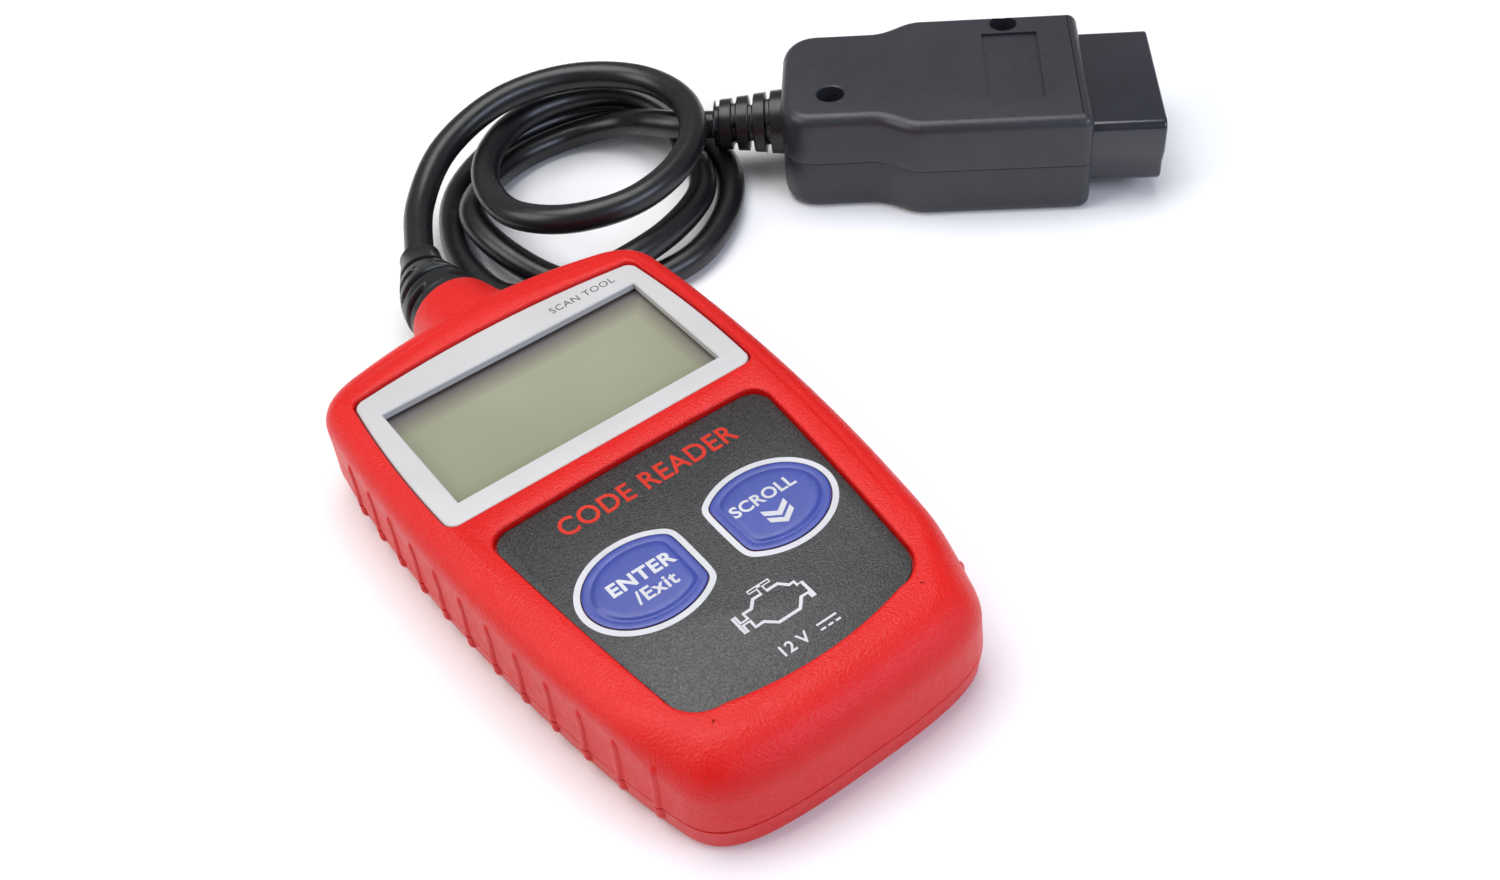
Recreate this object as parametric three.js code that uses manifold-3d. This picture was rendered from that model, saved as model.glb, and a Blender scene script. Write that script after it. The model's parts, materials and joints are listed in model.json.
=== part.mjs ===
// Handheld two-button diagnostic code reader with its coiled lead and 16-way vehicle plug.
// Millimetres, +Z up. The unit lies on its back: z = 0 is the back face, +Y points to the
// cable end. x = 0, y = 0 is the middle of the case, neck included.
import * as THREE from 'three';
import * as BufferGeometryUtils from 'three/addons/utils/BufferGeometryUtils.js';
import Module from 'manifold-3d';

const wasm = await Module();
wasm.setup();

// ---------------------------------------------------------------- driving dimensions
const GAP = 0.3;                  // clearance wherever two pieces touch

const CASE_HEIGHT = 22;
const CASE_BOTTOM_Y = -68.5;
const CASE_TOP_Y = 59.5;
const NECK_END_Y = 68;
const PARTING_Z = 6.5;
const WALL = 2;
const HEEL_START_Y = -44;         // the heel's larger rounding and thicker wall come in
const HEEL_FULL_Y = -62;          // between these two
const EDGE_RADIUS = 4.6;          // rounding between the face and the long sides
const HEEL_RADIUS = 9;            // larger rounding at the heel, below the keypad
const BACK_RADIUS = 2.2;
const ROOF_Z = 18.6;              // underside of the front shell's face

const NECK_RADIUS = 10.6;
const NECK_TIP_RADIUS = 9.3;
const NECK_BORE = 7.2;
const NECK_ROOT_Y = 50;
const BOOT_SHELF_Y = 61;          // the boot's flange is held behind this step in the neck
const NECK_Z = CASE_HEIGHT / 2;

const RIB_COUNT = 12;
const RIB_PITCH = 8.3;
const RIB_FIRST_Y = 37;
const RIB_WIDTH = 1.5;
const RIB_PROUD = 0.5;
const RIB_ROOT = 1.5;             // how far a rib reaches into the wall
const RIB_LOW_Z = 4.2;
const RIB_HIGH_Z = 16;

const BEZEL = { bottom: 5.5, top: 48.2, crown: 2.1, half: 32.1, bulge: 1, taper: -0.8, corner: 2.6 };
const BEZEL_SEAT_Z = 19.6;
const BEZEL_TOP_Z = 21.4;
const WINDOW = { half: 28.5, bottom: 10.5, top: 39.9 };
const GLASS = { half: 30, bottom: 9.2, top: 41.2, z0: 17.1, z1: 19.3 };
const SHELL_WINDOW = { half: 30.6, bottom: 8.6, top: 41.8 };
const FRAME_WALL = 0.9;
const ZEBRA_WIDTH = 1.9;

const PANEL = { bottom: -56.9, top: -0.3, crown: 0.5, sag: 2.4, half: 26.2, bulge: 0.5, taper: 3.1,
  topCorner: 4, bottomCorner: 7 };
const PANEL_SEAT_Z = 20.2;
const PANEL_TOP_Z = 20.9;

const BUTTON_X = 12.9;
const BUTTON_Y = -26;
const BUTTON_A = 11.5;            // half axes of the key's oval
const BUTTON_B = 9.2;
const BUTTON_CUT = 8.9;           // the oval is cut straight this far from its middle
const BUTTON_TOP_Z = 21.6;
const BUTTON_TRAVEL = 0.6;
const BUTTON_STEM_INSET = 1.6;
const BUTTON_HOLE_INSET = 1.2;
const BUTTON_FOOT_INSET = 0.4;
const BUTTON_FOOT = 1.5;          // the foot's underside, below the shell's roof
const PLUNGER_R = 1.6;
const DOME_TOP_Z = 12.95;
const DOME_R = 4;

const PCB = { half: 27, bottom: -49, top: 46, z0: 10.4, z1: 12 };
// Parts under the board: x and y extents, and height.
const MICROCONTROLLER = [-6, 6, -24, -12, 1.6];
const TRANSCEIVER = [-15, -10, 8, 14, 1.5];
const COMPARATOR = [9, 14, 8, 17, 1.5];
const CRYSTAL = [10, 13.5, -20, -10, 3];
const REGULATOR = [14, 20.5, 22, 29, 2.2];
const CABLE_HEADER = [-8, 8, 35, 40.5, 4.4];
const CAPACITOR = { radius: 3.1, x: -18, y: 27, height: 5.6 };
const HARNESS_HALF_WIDTH = 4;
const HARNESS_HALF_HEIGHT = 1;
const HARNESS_ROOT_Y = 51.6;

const LABEL_PLATE = { half: 20.6, bottom: -31.6, top: 21.6, z0: 0.15, z1: 0.45 };
const LABEL_RECESS = { margin: 0.4, depth: 0.6 };

const SCREW_SPOTS = [[30, 49], [-30, 49], [20.5, -57], [-20.5, -57]];
const SCREW_HEAD_R = 2.6;
const SCREW_SHANK_R = 1.3;
const SCREW_HEAD_Z = [3, 4.7];
const SCREW_TIP_Z = 15.5;
const SCREW_SINK_Z = 5;           // depth of the head's counterbore
const BOSS_R = 3.1;
const SINK_BOSS_R = 3.9;
const SLOT_HALF_LENGTH = 1.5;
const SLOT_HALF_WIDTH = 0.3;
const SLOT_DEPTH = 0.8;

const CORD_RADIUS = 3.2;
const BOOT_FLANGE = { start: 53, end: 60.6, tip: 69.5 };

const PLUG_X = 93.2;
const PLUG_Y = 75.3;
const PLUG_YAW = THREE.MathUtils.degToRad(-39.3);
const PLUG_HEIGHT = 24.2;
const PLUG_LENGTH = 68.5;
const PLUG_GRIP_HALF = 17.8;
const PLUG_HEAD_HALF = 22.4;
const PLUG_EDGE = 2.6;
const PLUG_WALL = 2.4;
const PLUG_RECESS = { x0: 46, x1: 58.6, y0: -13, y1: 14, depth: 0.6 };
const PLUG_SCREWS = [[11.3, -7.8], [51.3, 18.4]];
const PLUG_SCREW_HEAD_R = 2.7;
const PLUG_SCREW_HEAD_Z = [16.7, 18.6];
const PLUG_SCREW_TIP_Z = 5;
const PLUG_SINK = { radius: 3.1, z: 16.4 };
const PLUG_BOSS_R = 3.9;
const PLUG_POST_R = 3.2;
const SHROUD = { z0: 3.7, z1: 20.5, wide: 19.5, narrow: 17.6, front: 84.5, back: 60, wall: 1.5 };
const SHROUD_CORNER = 2.6;
const SHROUD_CHAMFER = 0.8;
const SHROUD_ROOT_X = PLUG_LENGTH - 4;
const SHROUD_FLOOR_X = PLUG_LENGTH + 1.5;
const PIN_PITCH = 4;
const PIN_ROW_Z = 4;              // each row of pins is this far from the plug's mid plane
const PINS = [2, 4, 5, 6, 7, 10, 14, 15, 16];
const PIN = { x0: 56, x1: 82, halfWidth: 0.75, halfHeight: 0.4, tip: 1 };
const RELIEF_PITCH = 3.95;
const RELIEF_RIB = 2.8;
const RELIEF_RADII = [7.4, 6.9, 6.4, 5.9];
const RELIEF_CORE_R = 4.9;
const RELIEF_FLANGE = { radius: 6.9, x0: 2.6, x1: 3.8 };
const RELIEF_START = -0.4;

// Tools for cutting reach this far past everything.
const FAR = 120;

// ---------------------------------------------------------------- materials
function finish(color, roughness, metalness = 0) {
  return new THREE.MeshStandardMaterial({ color, roughness, metalness });
}
const RED = finish(0xd8201c, 0.45);
const PALE_GREY = finish(0xdedee2, 0.4);
const LCD_GREY = finish(0xa9aa90, 0.15);
const CHARCOAL = finish(0x3d3d3d, 0.6);
const BLUE = finish(0x3f4fb0, 0.4);
const BLACK = finish(0x16161a, 0.45);
const PLUG_BLACK = finish(0x222226, 0.55);
const BOARD_GREEN = finish(0x1d5a34, 0.5);
const CHIP_BLACK = finish(0x18181a, 0.5);
const MILKY = finish(0xe8eee6, 0.35);
const STEEL = finish(0xb4b6ba, 0.3, 0.9);
const GOLD = finish(0xc9a24a, 0.25, 1);
const LABEL = finish(0xd0d0d0, 0.5);

// ---------------------------------------------------------------- solids
function toSolid(geometry) {
  const bare = geometry.index ? geometry.toNonIndexed() : geometry.clone();
  bare.deleteAttribute('normal');
  bare.deleteAttribute('uv');
  const merged = BufferGeometryUtils.mergeVertices(bare, 1e-4);
  return new wasm.Manifold(new wasm.Mesh({
    numProp: 3,
    vertProperties: new Float32Array(merged.attributes.position.array),
    triVerts: new Uint32Array(merged.index.array),
  }));
}

function toGeometry(solid) {
  const { vertProperties, triVerts } = solid.getMesh();
  const geometry = new THREE.BufferGeometry();
  geometry.setAttribute('position', new THREE.BufferAttribute(new Float32Array(vertProperties), 3));
  geometry.setIndex(new THREE.BufferAttribute(new Uint32Array(triVerts), 1));
  geometry.computeVertexNormals();
  return geometry;
}

function named(name, shape, material) {
  const geometry = shape.isBufferGeometry ? shape : toGeometry(shape);
  const mesh = new THREE.Mesh(geometry, material.clone());
  mesh.name = name;
  return mesh;
}

function box(x0, x1, y0, y1, z0, z1) {
  const geometry = new THREE.BoxGeometry(x1 - x0, y1 - y0, z1 - z0);
  return geometry.translate((x0 + x1) / 2, (y0 + y1) / 2, (z0 + z1) / 2);
}

function post(radius, x, y, z0, z1, sides = 16) {
  const geometry = new THREE.CylinderGeometry(radius, radius, z1 - z0, sides);
  return geometry.rotateX(Math.PI / 2).translate(x, y, (z0 + z1) / 2);
}

function prism(points, z0, z1) {
  const shape = new THREE.Shape(points);
  const geometry = new THREE.ExtrudeGeometry(shape, { depth: z1 - z0, bevelEnabled: false });
  return geometry.translate(0, 0, z0);
}

// A solid of revolution about the Y axis: the profile lists [radius, y] from axis to axis.
function turnedAboutY(profile, z, sides = 32) {
  const points = profile.map(([radius, y]) => new THREE.Vector2(radius, y));
  return new THREE.LatheGeometry(points, sides).translate(0, 0, z);
}

// A solid of revolution about the X axis: the profile lists [radius, x] from axis to axis.
function turnedAboutX(profile, y, z, sides = 24) {
  const points = profile.map(([radius, x]) => new THREE.Vector2(radius, x));
  return new THREE.LatheGeometry(points, sides).rotateZ(-Math.PI / 2).translate(0, y, z);
}

// A skin through rings of equal count, each a list of Vector3 going counter-clockwise seen from
// the last ring's side, closed by a flat-ish cap at each end.
function skin(rings) {
  const count = rings[0].length;
  const positions = rings.flat().flatMap((p) => [p.x, p.y, p.z]);
  const index = [];
  for (let ring = 0; ring + 1 < rings.length; ring += 1) {
    for (let i = 0; i < count; i += 1) {
      const a = ring * count + i;
      const b = ring * count + ((i + 1) % count);
      index.push(a, b, b + count, a, b + count, a + count);
    }
  }
  const cap = (ring, offset, flip) => {
    const flat = ring.map((p) => new THREE.Vector2(p.x, p.y));
    for (const [a, b, c] of THREE.ShapeUtils.triangulateShape(flat, [])) {
      index.push(...(flip ? [a, c, b] : [a, b, c]).map((i) => i + offset));
    }
  };
  cap(rings[0], 0, true);
  cap(rings.at(-1), (rings.length - 1) * count, false);
  const geometry = new THREE.BufferGeometry();
  geometry.setAttribute('position', new THREE.Float32BufferAttribute(positions, 3));
  geometry.setIndex(index);
  return geometry;
}

// ---------------------------------------------------------------- outlines
// Mirrors a half outline that runs up the +X side, and closes it counter-clockwise.
function mirrored(half) {
  const inner = half.filter((p) => p.x > 1e-6);
  const left = inner.map((p) => new THREE.Vector2(-p.x, p.y)).reverse();
  const ends = half.filter((p) => p.x <= 1e-6);
  return [ends[0], ...inner, ends.at(-1), ...left];
}

function sampled(curves) {
  const points = [];
  for (const [curve, steps] of curves) {
    for (let i = points.length ? 1 : 0; i <= steps; i += 1) {
      points.push(curve.getPoint(i / steps));
    }
  }
  return points;
}

const bezier = (...xy) => new THREE.CubicBezierCurve(
  new THREE.Vector2(xy[0], xy[1]), new THREE.Vector2(xy[2], xy[3]),
  new THREE.Vector2(xy[4], xy[5]), new THREE.Vector2(xy[6], xy[7]),
);

function caseOutline() {
  return mirrored(sampled([
    [bezier(0, CASE_BOTTOM_Y, 9, CASE_BOTTOM_Y, 13, -68.3, 18, -67.7), 2],
    [bezier(18, -67.7, 25.4, -66.6, 29.4, -64.4, 30.9, -58.5), 5],
    [bezier(30.9, -58.5, 37.7, -34, 40.8, 12, 38, 46), 8],
    [bezier(38, 46, 37.4, 51.5, 33.5, 54.6, 27, 56), 5],
    [bezier(27, 56, 18, 58.3, 9, CASE_TOP_Y, 0, CASE_TOP_Y), 3],
  ]));
}

// Moves each point of a closed outline inwards by its own distance.
function inset(points, distance) {
  return points.map((p, i) => {
    const before = points[(i + points.length - 1) % points.length];
    const after = points[(i + 1) % points.length];
    const inward = new THREE.Vector2(before.y - after.y, after.x - before.x).normalize();
    return p.clone().addScaledVector(inward, distance(p));
  });
}

// A four-sided outline with bowed sides, which narrows downwards, and round corners.
function panelOutline(spec, grow = 0) {
  const middle = (spec.bottom + spec.top) / 2;
  const reach = (spec.top - spec.bottom) / 2;
  const sideAt = (y) => {
    const s = (y - middle) / reach;
    return spec.half + spec.taper * s + spec.bulge * (1 - s * s) + grow;
  };
  const lowCorner = spec.bottomCorner ?? spec.corner;
  const highCorner = spec.topCorner ?? spec.corner;
  const half = [];
  const low = spec.bottom - grow;
  const high = spec.top + grow;
  const sag = spec.sag ?? 0;
  const lowX = sideAt(low) - lowCorner;
  for (const t of [0, 0.5]) {
    half.push(new THREE.Vector2(lowX * t, low + sag * t * t));
  }
  for (let i = 0; i <= 4; i += 1) {
    const a = -Math.PI / 2 + (i * Math.PI) / 8;
    const y = low + sag + lowCorner * (1 + Math.sin(a));
    half.push(new THREE.Vector2(lowX + lowCorner * Math.cos(a), y));
  }
  for (const t of [0.33, 0.67]) {
    const y = THREE.MathUtils.lerp(low + sag + lowCorner, high - spec.crown - highCorner, t);
    half.push(new THREE.Vector2(sideAt(y), y));
  }
  const highX = sideAt(high) - highCorner;
  for (let i = 0; i <= 4; i += 1) {
    const a = (i * Math.PI) / 8;
    const y = high - spec.crown - highCorner * (1 - Math.sin(a));
    half.push(new THREE.Vector2(highX + highCorner * Math.cos(a), y));
  }
  for (const t of [0.5, 0]) {
    half.push(new THREE.Vector2(highX * t, high - spec.crown * t * t));
  }
  return mirrored(half);
}

// A key's outline: an oval cut straight on the side that faces the other key.
function keyOutline(side, shrink = 0) {
  const a = BUTTON_A - shrink;
  const b = BUTTON_B - shrink;
  const cut = BUTTON_CUT - shrink;
  const open = Math.acos(cut / a);
  const points = [];
  for (let i = 0; i <= 26; i += 1) {
    const angle = open + (i / 26) * 2 * (Math.PI - open);
    const x = side * (BUTTON_X - a * Math.cos(angle));
    points.push(new THREE.Vector2(x, BUTTON_Y + b * Math.sin(angle)));
  }
  return points;
}

// ---------------------------------------------------------------- case shells
// 0 along the case, rising to 1 at the heel.
function heelShare(p) {
  return THREE.MathUtils.smoothstep(-p.y, -HEEL_START_Y, -HEEL_FULL_Y);
}

const BACK_INSET = 0.8;
const DRAFT = 0.3;

function caseBody() {
  const outline = caseOutline();
  const edge = (p) => THREE.MathUtils.lerp(EDGE_RADIUS, HEEL_RADIUS, heelShare(p));
  const ring = (insetAt, heightAt) => {
    const moved = inset(outline, insetAt);
    return moved.map((p, i) => new THREE.Vector3(p.x, p.y, heightAt(outline[i])));
  };
  const rings = [];
  for (const a of [0, 30, 60]) {
    const angle = THREE.MathUtils.degToRad(a);
    rings.push(ring(
      () => BACK_INSET + BACK_RADIUS * (1 - Math.sin(angle)),
      () => BACK_RADIUS * (1 - Math.cos(angle)),
    ));
  }
  rings.push(ring(() => 0, () => PARTING_Z));
  for (let i = 0; i <= 5; i += 1) {
    const angle = (i / 5) * (Math.PI / 2);
    rings.push(ring(
      (p) => DRAFT + edge(p) * (1 - Math.cos(angle)),
      (p) => CASE_HEIGHT - edge(p) * (1 - Math.sin(angle)),
    ));
  }
  const neck = turnedAboutY([
    [0, NECK_ROOT_Y], [NECK_RADIUS, NECK_ROOT_Y], [NECK_RADIUS, CASE_TOP_Y],
    [NECK_TIP_RADIUS + 0.5, NECK_END_Y - 2], [NECK_TIP_RADIUS, NECK_END_Y], [0, NECK_END_Y],
  ], NECK_Z);
  return toSolid(skin(rings)).add(toSolid(neck)).add(gripRibs(outline));
}

// Slim upright ribs along both long sides, for grip.
function gripRibs(outline) {
  const side = outline.filter((p) => p.x > 0);
  const reachAt = (y) => {
    const next = side.findIndex((p) => p.y >= y);
    const [a, b] = [side[next - 1], side[next]];
    return THREE.MathUtils.mapLinear(y, a.y, b.y, a.x, b.x);
  };
  let ribs = null;
  for (let i = 0; i < RIB_COUNT; i += 1) {
    const y = RIB_FIRST_Y - i * RIB_PITCH;
    const reach = reachAt(y);
    for (const sign of [-1, 1]) {
      const [x0, x1] = [sign * (reach - RIB_ROOT), sign * (reach + RIB_PROUD)].sort((a, b) => a - b);
      const rib = toSolid(box(x0, x1, y - RIB_WIDTH / 2, y + RIB_WIDTH / 2, RIB_LOW_Z, RIB_HIGH_Z));
      ribs = ribs ? ribs.add(rib) : rib;
    }
  }
  return ribs;
}

// The hollow's rings: how far it lies inside the outline at each height, the heel's share apart.
const HOLLOW = [
  [WALL + 1.2, WALL, 0],
  [WALL + 0.4, WALL + 2, 0],
  [WALL + 0.3, 12, 4],
  [WALL + 2.6, ROOF_Z, 4],
];

function caseCavity() {
  const outline = caseOutline();
  const rings = HOLLOW.map(([depth, z, atHeel]) => {
    const inner = inset(outline, (p) => depth + atHeel * heelShare(p));
    return inner.map((p) => new THREE.Vector3(p.x, p.y, z));
  });
  const seat = NECK_BORE + 1;
  const neckBore = turnedAboutY([
    [0, NECK_ROOT_Y + WALL], [seat, NECK_ROOT_Y + WALL], [seat, BOOT_SHELF_Y], [NECK_BORE, BOOT_SHELF_Y],
    [NECK_BORE, NECK_END_Y + 1], [0, NECK_END_Y + 1],
  ], NECK_Z);
  return toSolid(skin(rings)).add(toSolid(neckBore));
}

function frontShell(body, cavity) {
  const low = PARTING_Z + GAP / 2;
  let shell = body.intersect(toSolid(box(-FAR, FAR, -FAR, FAR, low, FAR))).subtract(cavity);
  for (const [x, y] of SCREW_SPOTS) {
    shell = shell.add(toSolid(post(BOSS_R, x, y, low, ROOF_Z + 0.5)));
  }
  for (const [x, y] of SCREW_SPOTS) {
    shell = shell.subtract(toSolid(post(SCREW_SHANK_R + GAP, x, y, low - 1, SCREW_TIP_Z + 1.1)));
  }
  const { half, bottom, top } = SHELL_WINDOW;
  shell = shell.subtract(toSolid(prism(panelOutline(BEZEL, GAP), BEZEL_SEAT_Z, FAR)));
  shell = shell.subtract(toSolid(box(-half, half, bottom, top, NECK_Z, FAR)));
  shell = shell.subtract(toSolid(prism(panelOutline(PANEL, GAP), PANEL_SEAT_Z, FAR)));
  for (const side of [-1, 1]) {
    shell = shell.subtract(toSolid(prism(keyOutline(side, BUTTON_HOLE_INSET), NECK_Z, FAR)));
  }
  return shell;
}

function rearShell(body, cavity) {
  const high = PARTING_Z - GAP / 2;
  let shell = body.intersect(toSolid(box(-FAR, FAR, -FAR, FAR, -FAR, high))).subtract(cavity);
  for (const [x, y] of SCREW_SPOTS) {
    shell = shell.add(toSolid(post(SINK_BOSS_R, x, y, 1, high)));
  }
  for (const [x, y] of SCREW_SPOTS) {
    const head = toSolid(post(SCREW_HEAD_R + GAP, x, y, -1, SCREW_SINK_Z));
    const shank = toSolid(post(SCREW_SHANK_R + GAP, x, y, SCREW_SINK_Z - 1, PCB.z1));
    shell = shell.subtract(head).subtract(shank);
  }
  const { half, bottom, top } = LABEL_PLATE;
  const { margin, depth } = LABEL_RECESS;
  const recess = box(-half - margin, half + margin, bottom - margin, top + margin, -1, depth);
  return shell.subtract(toSolid(recess));
}

// A cross slot in a screw's head, between two heights.
function crossSlot(x, y, z0, z1) {
  const bar = (wide, deep) => toSolid(box(x - wide, x + wide, y - deep, y + deep, z0, z1));
  return bar(SLOT_HALF_LENGTH, SLOT_HALF_WIDTH).add(bar(SLOT_HALF_WIDTH, SLOT_HALF_LENGTH));
}

function caseScrew(x, y) {
  const [low, high] = SCREW_HEAD_Z;
  const head = toSolid(post(SCREW_HEAD_R, x, y, low, high));
  const shank = toSolid(post(SCREW_SHANK_R, x, y, high - 0.1, SCREW_TIP_Z, 12));
  return head.add(shank).subtract(crossSlot(x, y, low - 1, low + SLOT_DEPTH));
}

// ---------------------------------------------------------------- display
function bezel() {
  const plate = toSolid(prism(panelOutline(BEZEL), BEZEL_SEAT_Z + GAP, BEZEL_TOP_Z));
  return plate.subtract(toSolid(box(-WINDOW.half, WINDOW.half, WINDOW.bottom, WINDOW.top, 0, FAR)));
}

function displayFrame() {
  const { half, bottom, top } = GLASS;
  const around = (margin, z0, z1) => toSolid(
    box(-half - margin, half + margin, bottom - margin, top + margin, z0, z1),
  );
  const play = GAP + 0.1;
  return around(play + FRAME_WALL, PCB.z1 + GAP, ROOF_Z - GAP).subtract(around(play, 0, FAR));
}

function displayParts() {
  const { half, bottom, top, z0, z1 } = GLASS;
  const stripTop = bottom + ZEBRA_WIDTH;
  return [
    named('lcd_bezel', bezel(), PALE_GREY),
    named('lcd_frame', displayFrame(), STEEL),
    named('lcd_glass', box(-half, half, bottom, top, z0, z1), LCD_GREY),
    named('lcd_backlight', box(-half, half, stripTop + GAP, top, PCB.z1 + GAP, z0 - GAP), MILKY),
    named('zebra_strip', box(-half + 2, half - 2, bottom, stripTop, PCB.z1 + GAP, z0 - GAP), CHIP_BLACK),
  ];
}

// ---------------------------------------------------------------- keypad
function keypadOverlay() {
  let film = toSolid(prism(panelOutline(PANEL), PANEL_SEAT_Z + GAP, PANEL_TOP_Z));
  for (const side of [-1, 1]) {
    film = film.subtract(toSolid(prism(keyOutline(side, -GAP), 0, FAR)));
  }
  return film;
}

// A key: the visible cap, its stem through the shell, and a wide foot that holds it in.
function keyButton(side) {
  const capZ = PANEL_SEAT_Z + BUTTON_TRAVEL + GAP / 2;
  const footZ = ROOF_Z - BUTTON_FOOT;
  const cap = toSolid(prism(keyOutline(side), capZ, BUTTON_TOP_Z - 0.4));
  const crown = toSolid(prism(keyOutline(side, 0.9), BUTTON_TOP_Z - 0.5, BUTTON_TOP_Z));
  const stem = toSolid(prism(keyOutline(side, BUTTON_STEM_INSET), footZ + 0.5, capZ + 0.15));
  const foot = toSolid(prism(keyOutline(side, BUTTON_FOOT_INSET), footZ, ROOF_Z - GAP));
  const plunger = toSolid(post(PLUNGER_R, side * BUTTON_X, BUTTON_Y, DOME_TOP_Z + GAP, footZ + 0.3));
  return cap.add(crown).add(stem).add(foot).add(plunger);
}

function snapDome(side) {
  const low = PCB.z1 + 0.1;
  const profile = [
    [0, low], [DOME_R, low], [DOME_R - GAP, low + GAP], [DOME_R * 0.55, DOME_TOP_Z - 0.15], [0, DOME_TOP_Z],
  ];
  const points = profile.map(([radius, z]) => new THREE.Vector2(radius, z));
  return new THREE.LatheGeometry(points, 20).rotateX(Math.PI / 2).translate(side * BUTTON_X, BUTTON_Y, 0);
}

// ---------------------------------------------------------------- electronics
function electronics() {
  const { half, bottom, top, z0, z1 } = PCB;
  let board = toSolid(box(-half, half, bottom, top, z0, z1));
  for (const side of [-1, 1]) {
    board = board.subtract(toSolid(post(BOSS_R + 1.5, side * SCREW_SPOTS[0][0], SCREW_SPOTS[0][1], 0, FAR)));
  }
  const under = z0 - GAP;
  const chip = ([x0, x1, y0, y1, height]) => box(x0, x1, y0, y1, under - height, under);
  const { radius, x, y, height: tall } = CAPACITOR;
  return [
    named('main_pcb', board, BOARD_GREEN),
    named('microcontroller', chip(MICROCONTROLLER), CHIP_BLACK),
    named('bus_transceiver', chip(TRANSCEIVER), CHIP_BLACK),
    named('comparator_chip', chip(COMPARATOR), CHIP_BLACK),
    named('crystal', chip(CRYSTAL), STEEL),
    named('voltage_regulator', chip(REGULATOR), CHIP_BLACK),
    named('supply_capacitor', post(radius, x, y, under - tall, under, 20), STEEL),
    named('cable_header', chip(CABLE_HEADER), MILKY),
    named('wire_harness', wireHarness(under), CHIP_BLACK),
  ];
}

// The lead's inner wires, bundled flat, from the boot's root down into the board's header.
function wireHarness(under) {
  const [, , , headerEnd, headerHeight] = CABLE_HEADER;
  const z = under - headerHeight / 2;
  const route = new THREE.CatmullRomCurve3([
    new THREE.Vector3(0, HARNESS_ROOT_Y, NECK_Z - 2.5),
    new THREE.Vector3(0, HARNESS_ROOT_Y - 3.1, z + 0.4),
    new THREE.Vector3(0, headerEnd + 4, z),
    new THREE.Vector3(0, headerEnd + GAP, z),
  ]);
  const [wide, high] = [HARNESS_HALF_WIDTH, HARNESS_HALF_HEIGHT];
  const section = new THREE.Shape([
    new THREE.Vector2(-wide, -high), new THREE.Vector2(wide, -high),
    new THREE.Vector2(wide, high), new THREE.Vector2(-wide, high),
  ]);
  return new THREE.ExtrudeGeometry(section, { steps: 8, extrudePath: route, bevelEnabled: false });
}

// ---------------------------------------------------------------- lead
// The lead leaves the neck along +Y, lies in three loose turns behind the case, each lower than
// the one before, and comes out of the coil under its top turn to rise into the plug.
const LEAD_ROUTE = [
  [3.7, 90, 11.8], [12.5, 105.5, 12.8], [26, 116.8, 16], [44.3, 121.2, 18.6], [61.5, 117.2, 19],
  [73, 105.4, 19], [75.4, 91, 19], [69.7, 78, 19], [59, 69.6, 18.6], [45.3, 66.7, 18.2],
  [32.6, 71.6, 17.5], [25.3, 83, 15.9], [26.4, 98, 13.9],
  // second turn
  [34.2, 112.4, 12], [46.2, 120.9, 11.1], [60, 121.2, 11], [72.8, 114, 10.2], [78.4, 101, 6.4],
  [75.6, 91, 3.8], [72.5, 81.8, 6.2], [65.6, 71.2, 7.7], [52, 63.2, 9], [35.8, 59.8, 10],
  [22.4, 63.4, 7.6], [14.9, 74.4, 3.7], [13.6, 88, 3.3], [17.4, 102.8, 3.3],
  // third turn, flat on the floor
  [26, 116, 3.3], [41.6, 125.4, 3.3], [60.4, 126.2, 3.3], [76.4, 117.2, 3.3], [84.8, 102.2, 3.3],
  [82, 89.4, 3.3], [78.2, 78, 3.3], [68.2, 65.8, 3.3], [53, 58, 3.3], [37, 60, 3.3], [26.8, 70.6, 3.8],
  [21.2, 84.6, 7], [21.6, 98.8, 8.1],
  // along the inside of the coil and up to the plug
  [31, 111.6, 5], [45, 118.5, 3.3], [58.6, 117.4, 3.7], [68.2, 108.6, 7], [71.4, 98.6, 10.6],
  [75.2, 90.4, 12.1], [80.3, 85.9, 12.1],
];
const LEAD_STEPS = 78;

function leadTube() {
  const section = new THREE.Shape();
  section.absarc(0, 0, CORD_RADIUS, 0, 2 * Math.PI);
  const polygon = new THREE.Shape(section.getPoints(2).slice(0, -1));
  const points = LEAD_ROUTE.map((p) => new THREE.Vector3(...p));
  const route = new THREE.CatmullRomCurve3(points, false, 'centripetal');
  const settings = { steps: LEAD_STEPS, extrudePath: route, bevelEnabled: false };
  return new THREE.ExtrudeGeometry(polygon, settings);
}

// Moulded boot: a flange inside the neck, then ribs that taper along a slightly bent axis.
const BOOT_AXIS = [
  [0, 53, 11], [0, 61, 11], [0, 68.2, 11], [0.1, 73, 11.1], [0.6, 78, 11.2], [1.7, 83.5, 11.4],
  [3.3, 88.6, 11.7],
];
// Share of the axis, and radius there.
const BOOT_STATIONS = [[0.43, 8.9], [0.53, 8.7], [0.64, 7.9], [0.78, 6.8], [0.9, 5.7], [1, 4.6]];

function boot() {
  const { start, end, tip } = BOOT_FLANGE;
  const [wide, narrow] = [NECK_BORE + 0.7, NECK_BORE - 0.4];
  const flange = turnedAboutY(
    [[0, start], [wide, start], [wide, end], [narrow, end], [narrow, tip], [0, tip]],
    NECK_Z,
  );
  const axis = new THREE.CatmullRomCurve3(BOOT_AXIS.map((p) => new THREE.Vector3(...p)));
  const rings = BOOT_STATIONS.map(([t, radius]) => ringAcross(axis, t, radius, 20));
  return toSolid(flange).add(toSolid(tubeSkin(rings)));
}

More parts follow.
